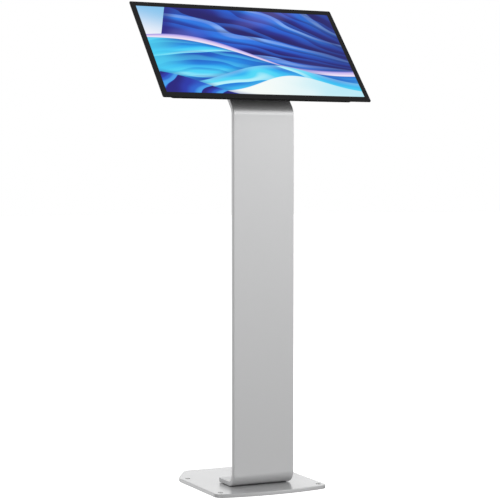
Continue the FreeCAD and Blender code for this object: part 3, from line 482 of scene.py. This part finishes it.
def obj_from(name, verts, faces, slot, body="kiosk", replaces=(), degrees=32.0, bevel=None):
    me = bpy.data.meshes.new(name)
    me.from_pydata([tuple(v) for v in verts], [], faces)
    bm = bmesh.new()
    bm.from_mesh(me)
    bmesh.ops.remove_doubles(bm, verts=bm.verts, dist=1e-7)
    bmesh.ops.dissolve_degenerate(bm, edges=bm.edges, dist=1e-7)
    bmesh.ops.recalc_face_normals(bm, faces=bm.faces)
    bm.to_mesh(me)
    bm.free()
    o = bpy.data.objects.new(name, me)
    scene.collection.objects.link(o)
    return dress(o, slot, body, replaces, degrees, bevel)


def dress(o, slot, body="kiosk", replaces=(), degrees=32.0, bevel=None):
    o.data.materials.clear()
    o.data.materials.append(MAT[slot])
    if bevel:
        b = o.modifiers.new("edges", "BEVEL")
        b.width, b.segments, b.limit_method = bevel * MM, 2, "ANGLE"
        b.angle_limit = math.radians(45)
        b.harden_normals = True
    smooth(o.data, degrees)
    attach(o, body)
    if replaces:
        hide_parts(*replaces)
    return o


def round_poly(pts, radii, seg=5):
    """A closed outline with rounded corners; pts anticlockwise or clockwise, radii one per corner."""
    out = []
    n = len(pts)
    for i, p in enumerate(pts):
        r = radii[i] if isinstance(radii, (list, tuple)) else radii
        a, b = Vector(pts[i - 1]), Vector(pts[(i + 1) % n])
        p = Vector(p)
        if r <= 0:
            out.append(tuple(p))
            continue
        da, db = (a - p).normalized(), (b - p).normalized()
        ang = da.angle(db)
        cut = min(r / math.tan(ang / 2), (a - p).length * 0.49, (b - p).length * 0.49)
        rr = cut * math.tan(ang / 2)
        centre = p + (da + db).normalized() * (rr / math.sin(ang / 2))
        p0, p1 = p + da * cut, p + db * cut
        v0, v1 = p0 - centre, p1 - centre
        sweep = v0.angle(v1)
        way = 1 if v0.x * v1.y - v0.y * v1.x > 0 else -1
        k = max(2, seg)
        for j in range(k + 1):
            t = way * sweep * j / k
            out.append((centre.x + v0.x * math.cos(t) - v0.y * math.sin(t), centre.y + v0.x * math.sin(t) + v0.y * math.cos(t)))
    return out


def loft(rings, close=False, caps=True):
    """Faces between successive rings of equal length; each ring is closed."""
    verts, faces, n = [], [], len(rings[0])
    for r in rings:
        verts += r
    m = len(rings)
    for i in range(m if close else m - 1):
        a, b = i * n, ((i + 1) % m) * n
        for j in range(n):
            k = (j + 1) % n
            faces.append((a + j, a + k, b + k, b + j))
    if caps and not close:
        faces.append(tuple(range(n))[::-1])
        faces.append(tuple(range((m - 1) * n, m * n)))
    return verts, faces


# stations along the column's front skin: point and inward direction in the y-z plane
def stations(low, high, arc=20):
    st = []
    if low == "foot":
        st += [((YC + FOOT_L, FOOT), (0, 1)), ((YC + FB, FOOT), (0, 1))]
        for i in range(1, arc + 1):
            a = math.radians(-90 - 90 * i / arc)
            st.append(((YC + FB + FB * math.cos(a), FOOT + FB + FB * math.sin(a)), (-math.cos(a), -math.sin(a))))
    else:
        st.append(((YC, low), (1, 0)))
    if high == "head":
        k = max(8, arc // 2)
        for i in range(0, k + 1):
            a = math.pi - TILT * i / k
            st.append(((YC + RB + RB * math.cos(a), TOP + RB * math.sin(a)), (-math.cos(a), -math.sin(a))))
        y, z = st[-1][0]
        st.append(((y + HEAD_L * S, z + HEAD_L * C), (C, -S)))
    else:
        st.append(((YC, high), (1, 0)))
    return st


def swept(name, section, low, high, slot, replaces, bevel=0.35, arc=20):
    rings = []
    for (y, z), (ny, nz) in stations(low, high, arc):
        rings.append([Vector((x * MM, (y + o * ny) * MM, (z + o * nz) * MM)) for x, o in section])
    v, f = loft(rings)
    return obj_from(name, v, f, slot, replaces=replaces, bevel=bevel)


# ------------------------------------------------------------------ column
IN = HALF_W - 2.0
shell_section = round_poly(
    [(-HALF_W, CD), (-HALF_W, 0), (HALF_W, 0), (HALF_W, CD), (IN, CD), (IN, 2), (-IN, 2), (-IN, CD)],
    [0.45, 2.7, 2.7, 0.45, 0.45, 0.7, 0.7, 0.45], 7)
shell = swept("column_shell_skin", shell_section, "foot", "head", "silver_paint", ["column_front_shell"], arc=28)


def rear_sheet(name, low, high, node):
    sec = round_poly([(-IN + 0.1, CD), (-IN + 0.1, CD - 1.5), (IN - 0.1, CD - 1.5), (IN - 0.1, CD)], [0.4, 0.2, 0.2, 0.4], 3)
    return swept(name, sec, low, high, "silver_paint", [node])


foot_sheet = rear_sheet("foot_rear_sheet", "foot", 65.5, "foot_closing_plate")
cover = rear_sheet("cable_cover_sheet", 66.0, 905.0, "rear_cable_cover")
head_sheet = rear_sheet("head_rear_sheet", 905.5, "head", "head_closing_plate")


def boolean(target, cutters, how="DIFFERENCE"):
    """Applies a boolean with plain mesh data; target and cutters are objects, and the cutters go."""
    for c in cutters:
        b = target.modifiers.new("cut", "BOOLEAN")
        b.operation, b.object, b.solver = how, c, "EXACT"
        target.modifiers.move(len(target.modifiers) - 1, 0)
        bpy.context.view_layer.update()
        dg = bpy.context.evaluated_depsgraph_get()
        keep = [m for m in target.modifiers if m != b]
        shown = [(m, m.show_viewport, m.show_render) for m in keep]
        for m in keep:
            m.show_viewport = m.show_render = False
        dg.update()
        me = bpy.data.meshes.new_from_object(target.evaluated_get(dg), depsgraph=dg)
        old = target.data
        target.modifiers.remove(b)
        target.data = me
        for m, sv, sr in shown:
            m.show_viewport, m.show_render = sv, sr
        bpy.data.meshes.remove(old)
        bpy.data.objects.remove(c)
    smooth(target.data)
    return target


def cutter(verts, faces):
    me = bpy.data.meshes.new("cutter")
    me.from_pydata([tuple(v) for v in verts], [], faces)
    bm = bmesh.new()
    bm.from_mesh(me)
    bmesh.ops.recalc_face_normals(bm, faces=bm.faces)
    bm.to_mesh(me)
    bm.free()
    o = bpy.data.objects.new("cutter", me)
    scene.collection.objects.link(o)
    return o


def many(parts):
    verts, faces = [], []
    for v, f in parts:
        n = len(verts)
        verts += list(v)
        faces += [tuple(i + n for i in face) for face in f]
    return verts, faces


def mon_prism(outline, w0, w1):
    """A prism through the monitor's depth from a closed (x, v) outline."""
    return loft([[mon(x, w, v) for x, v in outline] for w in (w0, w1)])


boolean(head_sheet, [cutter(*mon_prism(round_poly([(-28, 52), (28, 52), (28, 80), (-28, 80)], 3.0, 5), HEAD_W + 5, HEAD_W + 15))])

# ------------------------------------------------------------------ base plate
lo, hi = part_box("base_plate")
P0, P1 = lo.z / MM, hi.z / MM
HALF_P, PFRONT, PBACK = 150.5, -174.25, 174.25
BOW = 650.0


def plate_outline():
    side_y = PFRONT + BOW - math.sqrt(BOW * BOW - HALF_P * HALF_P)
    pts, rad = [], []
    n = 48
    a0 = math.asin(HALF_P / BOW)
    bow = [(BOW * math.sin(-a0 + 2 * a0 * i / n), PFRONT + BOW - BOW * math.cos(-a0 + 2 * a0 * i / n)) for i in range(n + 1)]
    bow = [b for b in bow if abs(b[0]) < HALF_P - 32]
    # the corner from the bow to the side, as an arc through both tangents
    start = [(-HALF_P, side_y)] + bow + [(HALF_P, side_y)]
    corner = [(HALF_P, side_y), (HALF_P, 86.05), (97.4, PBACK), (-97.4, PBACK), (-HALF_P, 86.05), (-HALF_P, side_y)]
    full = start + corner[1:-1]
    radii = [34.0] + [0.0] * len(bow) + [34.0, 75.0, 30.0, 30.0, 75.0]
    return round_poly(full, radii, 12)


def plate_curve(name, outlines, half, bevel):
    cu = bpy.data.curves.new(name, "CURVE")
    cu.dimensions, cu.fill_mode = "2D", "BOTH"
    cu.extrude, cu.bevel_depth, cu.bevel_resolution, cu.offset = (half - bevel) * MM, bevel * MM, 4, -bevel * MM
    for ring in outlines:
        sp = cu.splines.new("POLY")
        sp.points.add(len(ring) - 1)
        for p, (x, y) in zip(sp.points, ring):
            p.co = (x * MM, y * MM, 0, 1)
        sp.use_cyclic_u = True
    o = bpy.data.objects.new(name + "_curve", cu)
    scene.collection.objects.link(o)
    bpy.context.view_layer.update()
    me = bpy.data.meshes.new_from_object(o)
    bpy.data.objects.remove(o)
    return me


def circle(x, y, r, n=40):
    return [(x + r * math.cos(2 * math.pi * i / n), y + r * math.sin(2 * math.pi * i / n)) for i in range(n)]


levels = {}
for k in ("fl", "fr", "rl", "rr"):
    a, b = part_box("levelling_screw_" + k)
    levels[k] = ((a.x + b.x) / 2 / MM, (a.y + b.y) / 2 / MM)
me = plate_curve("base_plate_body", [plate_outline()] + [circle(x, y, 5.0 + 0.25) for x, y in levels.values()], (P1 - P0) / 2, 1.3)
me.transform(Matrix.Translation((0, 0, (P0 + P1) / 2 * MM)))
bm = bmesh.new()
bm.from_mesh(me)
bmesh.ops.remove_doubles(bm, verts=bm.verts, dist=1e-6)
bmesh.ops.recalc_face_normals(bm, faces=bm.faces)
bm.to_mesh(me)
bm.free()
plate = bpy.data.objects.new("base_plate_body", me)
scene.collection.objects.link(plate)
dress(plate, "silver_paint", replaces=["base_plate"], degrees=30)
# countersunk holes from below for the foot's bolts
a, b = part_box("foot_bolts")
bolt_at = [(x, y) for x in (a.x / MM + 8, b.x / MM - 8) for y in (a.y / MM + 8, b.y / MM - 8)]
boolean(plate, [cutter(*loft([[Vector((p[0] * MM, p[1] * MM, z * MM)) for p in circle(x, y, r, 48)]
                              for z, r in ((P0 - 0.5, 9.3), (P0 + 4.3, 4.5), (P1 + 1, 4.5))])) for x, y in bolt_at])
# the plate is coated a little glossier; painted shade: the walls of its tapped holes are coloured dark
plate.data.materials[0] = silver_paint("satin_silver_plate", 0.235)
plate.data.materials.append(PAINTED_SHADE_FINISH)
for poly in plate.data.polygons:
    c = poly.center / MM
    if any(math.hypot(c.x - x, c.y - y) < 6.1 for x, y in levels.values()) and poly.area < 1e-4:
        poly.material_index = 1

# ------------------------------------------------------------------ screws


def frame_axes(axis):
    a = Vector(axis).normalized()
    t = Vector((1, 0, 0)) if abs(a.x) < 0.9 else Vector((0, 1, 0))
    b = a.cross(t).normalized()
    return a, b, a.cross(b)


def turned(centre, axis, profile, hex_r=0.0, hex_depth=0.0, n=36):
    """A turned part with an optional hexagonal socket in its outer end. profile: (radius, along) pairs in mm
    from the inner end out to the socket's rim, centre in metres."""
    a, b, c = frame_axes(axis)
    rings = []

    def ring(r_of, along):
        out = []
        for i in range(n):
            t = 2 * math.pi * i / n
            r = r_of(t)
            out.append(centre + (b * math.cos(t) + c * math.sin(t)) * r * MM + a * along * MM)
        return out

    for r, along in profile:
        rings.append(ring(lambda t, r=r: r, along))
    if hex_r:
        top = profile[-1][1]
        hexed = lambda t: hex_r * math.cos(math.pi / 6) / math.cos((t % (math.pi / 3)) - math.pi / 6)
        rings.append(ring(lambda t: hexed(t) + 0.25, top))
        rings.append(ring(hexed, top - 0.25))
        rings.append(ring(hexed, top - hex_depth))
        rings.append(ring(lambda t: hexed(t) * 0.5, top - hex_depth - 0.4))
    return loft(rings)


for k, (x, y) in levels.items():
    base = Vector((x * MM, y * MM, 0))
    z0, z1 = P0 + 0.4, P1 - 0.1
    prof = [(1.0, z0), (3.9, z0), (4.75, z0 + 0.9)]
    # thread turns show as fine ridges on the flank
    zz = z0 + 1.1
    while zz < z1 - 1.0:
        prof += [(4.95, zz), (4.95, zz + 0.15), (4.35, zz + 0.62), (4.35, zz + 0.78)]
        zz += 1.25
    prof += [(4.9, z1 - 1.0), (4.75, z1 - 0.9), (3.75, z1 - 0.06), (3.6, z1)]
    v, f = turned(base, (0, 0, 1), prof, 2.4, 4.0)
    o = obj_from("levelling_screw_body_" + k, v, f, "zinc_steel", "leveller_" + k, ["levelling_screw_" + k], 40)
    # painted shade: the screw's flank and underside are coloured dark for the shade in the groove round it; zinc on
    # its top and in the key's socket
    o.data.materials.clear()
    o.data.materials.append(PAINTED_SHADE_FINISH)
    o.data.materials.append(MAT["zinc_steel"])
    for poly in o.data.polygons:
        c = poly.center - base
        if math.hypot(c.x, c.y) < 0.0038 and c.z > 0.004:
            poly.material_index = 1


def button_heads(name, node, places, axis, head_r, head_h, hex_r, seat, shank_r, shank_to, slot="zinc_steel"):
    """Button-head socket screws: places are seat points in metres, axis points out of the head."""
    parts = []
    for p in places:
        prof = [(0.8, -shank_to), (shank_r - 0.4, -shank_to), (shank_r, -shank_to + 0.5), (shank_r, 0.0), (head_r - 0.15, 0.0), (head_r, 0.15)]
        for i in range(1, 8):
            t = i / 8 * math.pi / 2
            prof.append((head_r - (head_r - hex_r - 0.7) * (1 - math.cos(t)), 0.15 + (head_h - 0.15) * math.sin(t)))
        prof.append((hex_r + 0.55, head_h))
        parts.append(turned(p, axis, prof, hex_r, head_h * 0.62))
    v, f = many(parts)
    return obj_from(name, v, f, slot, replaces=[node], degrees=35)


OUT = Vector((0, C, -S))           # out of the monitor's back
hx = [(s * 26, v) for s in (-1, 1) for v in (125.5, 205.5)]
vesa = [(s * 50, v) for s in (-1, 1) for v in (115.5, 215.5)]
corners = [(s * 225, v) for s in (-1, 1) for v in (45, 286)] + [(0, 45), (0, 286)]
button_heads("cover_screw_set", "cable_cover_screws", [Vector((s * 72 * MM, (YC + CD) * MM, z * MM)) for s in (-1, 1) for z in (130, 486, 842)],
             (0, 1, 0), 3.8, 1.9, 1.5, 0, 1.95, 7.5)
button_heads("bracket_screw_set", "bracket_screws", [mon(x, HEAD_W + CD, v) for x, v in hx], OUT, 5.2, 3.2, 2.3, 0, 2.95, 17.4)
button_heads("monitor_screw_set", "monitor_screws", [mon(x, 35.5, v) for x, v in vesa], OUT, 3.9, 2.4, 1.7, 0, 1.95, 11.4)
button_heads("housing_screw_set", "housing_screws", [mon(x, 33.0, v) for x, v in corners], OUT, 2.9, 1.6, 1.3, 0, 1.45, 13.9)

# rubber pads with turned grooves
pads = []
for x, y in ((-108, -146), (108, -146), (-84, 154), (84, 154)):
    prof = [(0.5, 0.12), (2.0, 0.12), (2.3, 0.0), (4.6, 0.0), (4.9, 0.12), (6.2, 0.12), (6.5, 0.0), (10.4, 0.0), (10.85, 0.12), (11.0, 0.35), (11.0, P0 - 0.12), (10.9, P0), (2.0, P0)]
    pads.append(turned(Vector((x * MM, y * MM, 0)), (0, 0, 1), prof))
v, f = many(pads)
obj_from("rubber_pad_set", v, f, "dark_rubber", replaces=["base_pads"], degrees=35)

# ------------------------------------------------------------------ monitor


def rrect(ix, iv, r, seg=10, w=None, ivt=None):
    """Rounded rectangle inset ix at the sides and iv at the ends of the monitor's outline."""
    ivt = iv if ivt is None else ivt
    return round_poly([(-(MW / 2 - ix), iv), (MW / 2 - ix, iv), (MW / 2 - ix, MH - ivt), (-(MW / 2 - ix), MH - ivt)], r, seg)


def rings_of(spec, seg=10):
    return [[mon(x, w, v) for x, v in rrect(ix, iv, r, seg)] for ix, iv, w, r in spec]


# thin front frame: a closed section carried round the outline
sec = [(0.0, 0.45), (0.12, 0.16), (0.42, 0.0), (1.02, 0.0), (1.22, 0.12), (1.25, 0.4), (1.25, 2.3), (7.0, 2.3), (7.0, 3.2), (0.5, 3.2), (0.1, 3.0), (0.0, 2.7)]
rings = rings_of([(i, i, w, max(0.8, 4.0 - i)) for i, w in sec], 10)
v, f = loft(rings, close=True)
obj_from("front_frame_rim", v, f, "black_frame", replaces=["front_frame"], degrees=35)

# cover glass with ground edges
sec = [(1.62, 0.10), (1.42, 0.20), (1.33, 0.42), (1.33, 1.7), (1.45, 1.92), (1.65, 2.0)]
rings = rings_of([(i, i, w, max(1.0, 4.0 - i)) for i, w in sec], 10)
v, f = loft(rings)
obj_from("touch_glass", v, f, "cover_glass", replaces=["cover_glass"], degrees=25)

# rear housing: one moulded shell, inner and outer skins in one loft
outer = [(1.2, 1.2, 3.2, 3.0), (1.25, 1.25, 3.6, 3.0), (12.1, 12.1, 10.75, 6.0), (12.9, 12.9, 11.0, 6.5), (30.4, 23.4, 11.0, 10.0), (31.3, 24.3, 11.25, 10.5),
         (31.9, 24.9, 12.2, 11.0), (32.0, 25.0, 13.0, 11.0), (32.0, 25.0, 28.0, 11.0)]
for i in range(1, 9):
    t = i / 8 * math.pi / 2
    outer.append((32.0 + 5 * (1 - math.cos(t)), 25.0 + 5 * (1 - math.cos(t)), 28.0 + 5 * math.sin(t), 11.0 - 3.5 * (1 - math.cos(t))))
inner = [(37.0, 30.0, 31.0, 6.0), (35.2, 28.2, 30.4, 8.0), (34.2, 27.2, 28.6, 9.0), (34.0, 27.0, 27.0, 9.0), (34.0, 27.0, 9.2, 9.0),
         (11.9, 11.9, 9.2, 5.0), (3.0, 3.0, 3.2, 2.0)]
rings = rings_of(inner + outer, 8)
v, f = loft(rings)
housing = obj_from("rear_housing_shell", v, f, "black_plastic", replaces=["rear_housing"], degrees=35)
BX0, BX1, BV0, BV1 = 75.0, 205.0, 62.0, 106.0
boolean(housing, [cutter(*mon_prism(round_poly([(BX0 - 2, BV0 - 2), (BX1 + 2, BV0 - 2), (BX1 + 2, BV1 + 2), (BX0 - 2, BV1 + 2)], 4.0, 5), 19.0, 32.2))], "UNION")
pocket = loft([[mon(x, w, v) for x, v in round_poly([(BX0 - g, BV0 - g), (BX1 + g, BV0 - g), (BX1 + g, BV1 + g), (BX0 - g, BV1 + g)], 2.0 + g, 5)]
               for g, w in ((0.0, 21.0), (0.0, 32.3), (0.7, 33.0), (1.2, 34.0))])
cuts = [pocket]
for x0, x1, w0, w1, r in ((91.8, 101.2, 21.2, 29.9, 1.2), (111.8, 127.2, 21.2, 27.5, 0.8), (137.8, 151.4, 21.2, 27.7, 0.8), (162.8, 170.2, 21.2, 27.9, 1.4)):
    ring = round_poly([(x0, w0), (x1, w0), (x1, w1), (x0, w1)], r, 4)
    cuts.append(loft([[mon(x, w, v) for x, w in ring] for v in (105.0, 109.0)]))
for x0 in (-200, 130):
    for i in range(7):
        vv = 258 + 5 * i
        cuts.append(mon_prism(round_poly([(x0, vv), (x0 + 70, vv), (x0 + 70, vv + 2.4), (x0, vv + 2.4)], 1.19, 5), 28.0, 36.0))
for s in (-1, 1):
    for i in range(10):
        x0 = s * 130 - 27 + 6 * i
        ring = round_poly([(x0, 16), (x0 + 3, 16), (x0 + 3, 24), (x0, 24)], 1.49, 5)
        cuts.append(loft([[mon(x, w, v) for x, w in ring] for v in (23.0, 29.0)]))
XB = MW / 2 - 32
key_v = [130 + 17 * i for i in range(5)]
for kv in key_v:
    ring = round_poly([(17.85, kv - 6.15), (24.15, kv - 6.15), (24.15, kv + 6.15), (17.85, kv + 6.15)], 1.5, 5)
    cuts.append(loft([[mon(x, w, v) for w, v in ring] for x in (XB - 4, XB + 2)]))
boolean(housing, [cutter(*many(cuts))])

# keys: flange, stem and a dished cap
for name, kv in zip(("power_key", "menu_key", "source_key", "plus_key", "minus_key"), key_v):
    spec = [(-5.8, 1.0, 1.0, 0.3), (-5.0, 1.0, 1.0, 0.3), (-4.95, 4.2, 7.2, 0.6), (-4.8, 4.4, 7.4, 0.8), (-2.8, 4.4, 7.4, 0.8), (-2.65, 4.2, 7.2, 0.6),
            (-2.6, 3.0, 6.0, 1.4), (0.35, 3.0, 6.0, 1.4), (0.7, 2.85, 5.85, 1.3), (0.88, 2.5, 5.5, 1.1), (0.9, 2.2, 5.2, 1.0), (0.72, 1.4, 4.3, 0.8), (0.62, 0.7, 3.4, 0.5)]
    rings = [[mon(XB + dx, 21 + a, kv + b) for a, b in round_poly([(-hw, -hv), (hw, -hv), (hw, hv), (-hw, hv)], r, 5)] for dx, hw, hv, r in spec]
    v, f = loft(rings)
    obj_from(name + "_cap_mould", v, f, "key_plastic", name + "_cap", [name], 35)

# bracket: folded hat section
sec = round_poly([(-66, 33), (-33.5, 33), (-33.5, HEAD_W - 2.5), (33.5, HEAD_W - 2.5), (33.5, 33), (66, 33), (66, 35.5), (36, 35.5), (36, HEAD_W),
                  (-36, HEAD_W), (-36, 35.5), (-66, 35.5)], [0.4, 2.6, 0.6, 0.6, 2.6, 0.4, 0.4, 0.6, 2.6, 2.6, 0.6, 0.4], 5)
v, f = loft([[mon(x, w, vv) for x, w in sec] for vv in (95.5, 236.5)])
obj_from("bracket_hat", v, f, "black_steel", replaces=["mounting_bracket"], bevel=0.3)

# rubber edging round the head's cable opening, and in the foot's slot
sec = [(0.1, 8.55), (0.1, 11.6), (-0.5, 12.0), (0.2, 12.5), (1.3, 12.3), (1.5, 11.8), (1.5, 8.7), (1.3, 8.5)]
rings = [[mon(x, HEAD_W + o, v) for x, v in round_poly([(-28 + i, 52 + i), (28 - i, 52 + i), (28 - i, 80 - i), (-28 + i, 80 - i)], max(1.2, 3.0 - i), 6)] for i, o in sec]
v, f = loft(rings, close=True)
obj_from("head_edging_ring", v, f, "dark_rubber", replaces=["head_cable_edging"], degrees=40)
sec = [(0.0, -3.9), (0.0, 0.3), (-0.6, 0.45), (-0.55, 0.95), (0.3, 1.0), (0.55, 0.8), (0.55, -3.8)]
rings = [[Vector((x * MM, (YC + FOOT_L + o) * MM, z * MM)) for x, z in round_poly(
    [(-23.9 + i, FOOT + 2.6 + i), (23.9 - i, FOOT + 2.6 + i), (23.9 - i, FOOT + 8.9 - i), (-23.9 + i, FOOT + 8.9 - i)], max(0.6, 1.6 - i), 6)] for i, o in sec]
v, f = loft(rings, close=True)
obj_from("foot_edging_ring", v, f, "dark_rubber", replaces=["foot_cable_edging"], degrees=40)

# flats keep their own normal, so that only the rounded edges catch the light
cad_nodes = set(frame["nodes"].values())
for o in scene.objects:
    if o.type == "MESH" and o not in cad_nodes and not o.hide_render:
        w = o.modifiers.new("flats", "WEIGHTED_NORMAL")
        w.mode, w.weight, w.keep_sharp = "FACE_AREA", 60, True

# ------------------------------------------------------------------ CAD nodes that stay: finish and broken edges
slots = {s["node"]: s["material_slot"] for s in frame["record"]["subparts"]}
for name, o in frame["nodes"].items():
    o.data.materials.clear()
    o.data.materials.append(MAT[slots[name]])
    if o.hide_render:
        continue
    w = o.modifiers.new("weld", "WELD")
    w.merge_threshold = 1e-6
    b = o.modifiers.new("edges", "BEVEL")
    b.width, b.segments, b.limit_method, b.angle_limit = 0.00015, 2, "ANGLE", math.radians(50)
    b.use_clamp_overlap = True

# ------------------------------------------------------------------ studio
# azimuth, elevation, width, strength
PANELS = ((28, 7, 22, 0.57), (52, 16, 20, 0.52), (155, 7, 30, 0.66), (32, 15, 9, 1.9), (-155, -10, 16, 0.74), (-65, 0, 16, 0.30),
          (38, 24, 9, 1.3))
bpy.ops.mesh.primitive_plane_add(size=1)
floor = bpy.context.object
floor.name = "studio_floor"
floor.scale = (60, 60, 1)
floor.location = (0, 0, 0)
m, g, p = material("studio_floor")
p.inputs["Roughness"].default_value = 0.9
p.inputs["Specular IOR Level"].default_value = 0.0
g.put(p.inputs["Base Color"], g.mix(g.noise(g.obj(), 30.0, 2.0), (0.90, 0.90, 0.90), (0.92, 0.92, 0.92)))
p.inputs["Emission Color"].default_value = (1, 1, 1, 1)
p.inputs["Emission Strength"].default_value = 0.84
lp = g.node("ShaderNodeNewGeometry")
clear = g.node("ShaderNodeBsdfTransparent")
mx = g.node("ShaderNodeMixShader")
g.put(mx.inputs[0], lp.outputs["Backfacing"])
g.put(mx.inputs[1], p.outputs[0])
g.put(mx.inputs[2], clear.outputs[0])
for n in list(g.n):
    if n.type == "OUTPUT_MATERIAL":
        g.put(n.inputs["Surface"], mx.outputs[0])
floor.data.materials.append(m)
# the paper sweep is lit for the picture alone: what the paint mirrors is the studio below
floor.visible_glossy = floor.visible_diffuse = floor.visible_shadow = False

world = bpy.data.worlds.new("studio")
scene.world = world
world.use_nodes = True
g = Graph(world.node_tree)
world.node_tree.nodes.clear()
out = g.node("ShaderNodeOutputWorld")
bg = g.node("ShaderNodeBackground")
cam_bg = g.node("ShaderNodeBackground")
cam_bg.inputs["Color"].default_value = (1, 1, 1, 1)
cam_bg.inputs["Strength"].default_value = 1.0
way = g.node("ShaderNodeTexCoord").outputs["Generated"]
dx, dy, dz = g.split(way)


def lobe(azimuth, elevation, width, strength):
    """A soft panel: azimuth in degrees from -Y towards +X, width in degrees."""
    a, e = math.radians(azimuth), math.radians(elevation)
    dot = g.node("ShaderNodeVectorMath", operation="DOT_PRODUCT")
    g.put(dot.inputs[0], way)
    dot.inputs[1].default_value = (math.sin(a) * math.cos(e), -math.cos(a) * math.cos(e), math.sin(e))
    k = 1.0 / (1.0 - math.cos(math.radians(width)))
    return g.mul(g.math("EXPONENT", g.mul(g.add(dot.outputs["Value"], -1.0), k)), strength)


# height profile: dim below, bright round the horizon, dim overhead
level = g.add(g.step(dz, -0.36, 0.08, 0.20, 0.62), g.step(dz, 0.22, 0.55, 0.0, -0.40))
for spec in PANELS:
    level = g.add(level, lobe(*spec))
g.put(bg.inputs["Color"], (1.0, 1.0, 1.0, 1.0))
g.put(bg.inputs["Strength"], level)
lp = g.node("ShaderNodeLightPath")
mx = g.node("ShaderNodeMixShader")
g.put(mx.inputs[0], lp.outputs["Is Camera Ray"])
g.put(mx.inputs[1], bg.outputs[0])
g.put(mx.inputs[2], cam_bg.outputs[0])
g.put(out.inputs["Surface"], mx.outputs[0])


def area(name, loc, target, size, power, size_y=None):
    li = bpy.data.lights.new(name, "AREA")
    li.energy, li.size = power, size
    if size_y:
        li.shape, li.size_y = "RECTANGLE", size_y
    o = bpy.data.objects.new(name, li)
    scene.collection.objects.link(o)
    o.location = loc
    o.rotation_mode = "QUATERNION"
    o.rotation_quaternion = (Vector(target) - Vector(loc)).to_track_quat("-Z", "Y")
    return o


area("top_light", (-0.6, 2.0, 3.2), (0, 0.2, 0.3), 2.0, 30.0)
area("side_light", (0.95, -0.75, 1.12), (0, -0.09, 0.92), 0.4, 1.15)
# fill, kept out of the glass
area("front_light", (-1.6, -2.6, 3.2), (0, 0, 0.2), 2.2, 68.0).visible_glossy = False

cam = bpy.data.cameras.new("camera")
cam.lens, cam.sensor_width = 114.78, 36.0
cam_o = bpy.data.objects.new("camera", cam)
scene.collection.objects.link(cam_o)
cam_o.location = (-1.6928, -3.62615, 0.7589)
cam_o.rotation_euler = (math.radians(90 - 2.435), 0, math.radians(-25.162))
scene.camera = cam_o
scene.view_settings.view_transform = "Standard"
scene.view_settings.look = "None"
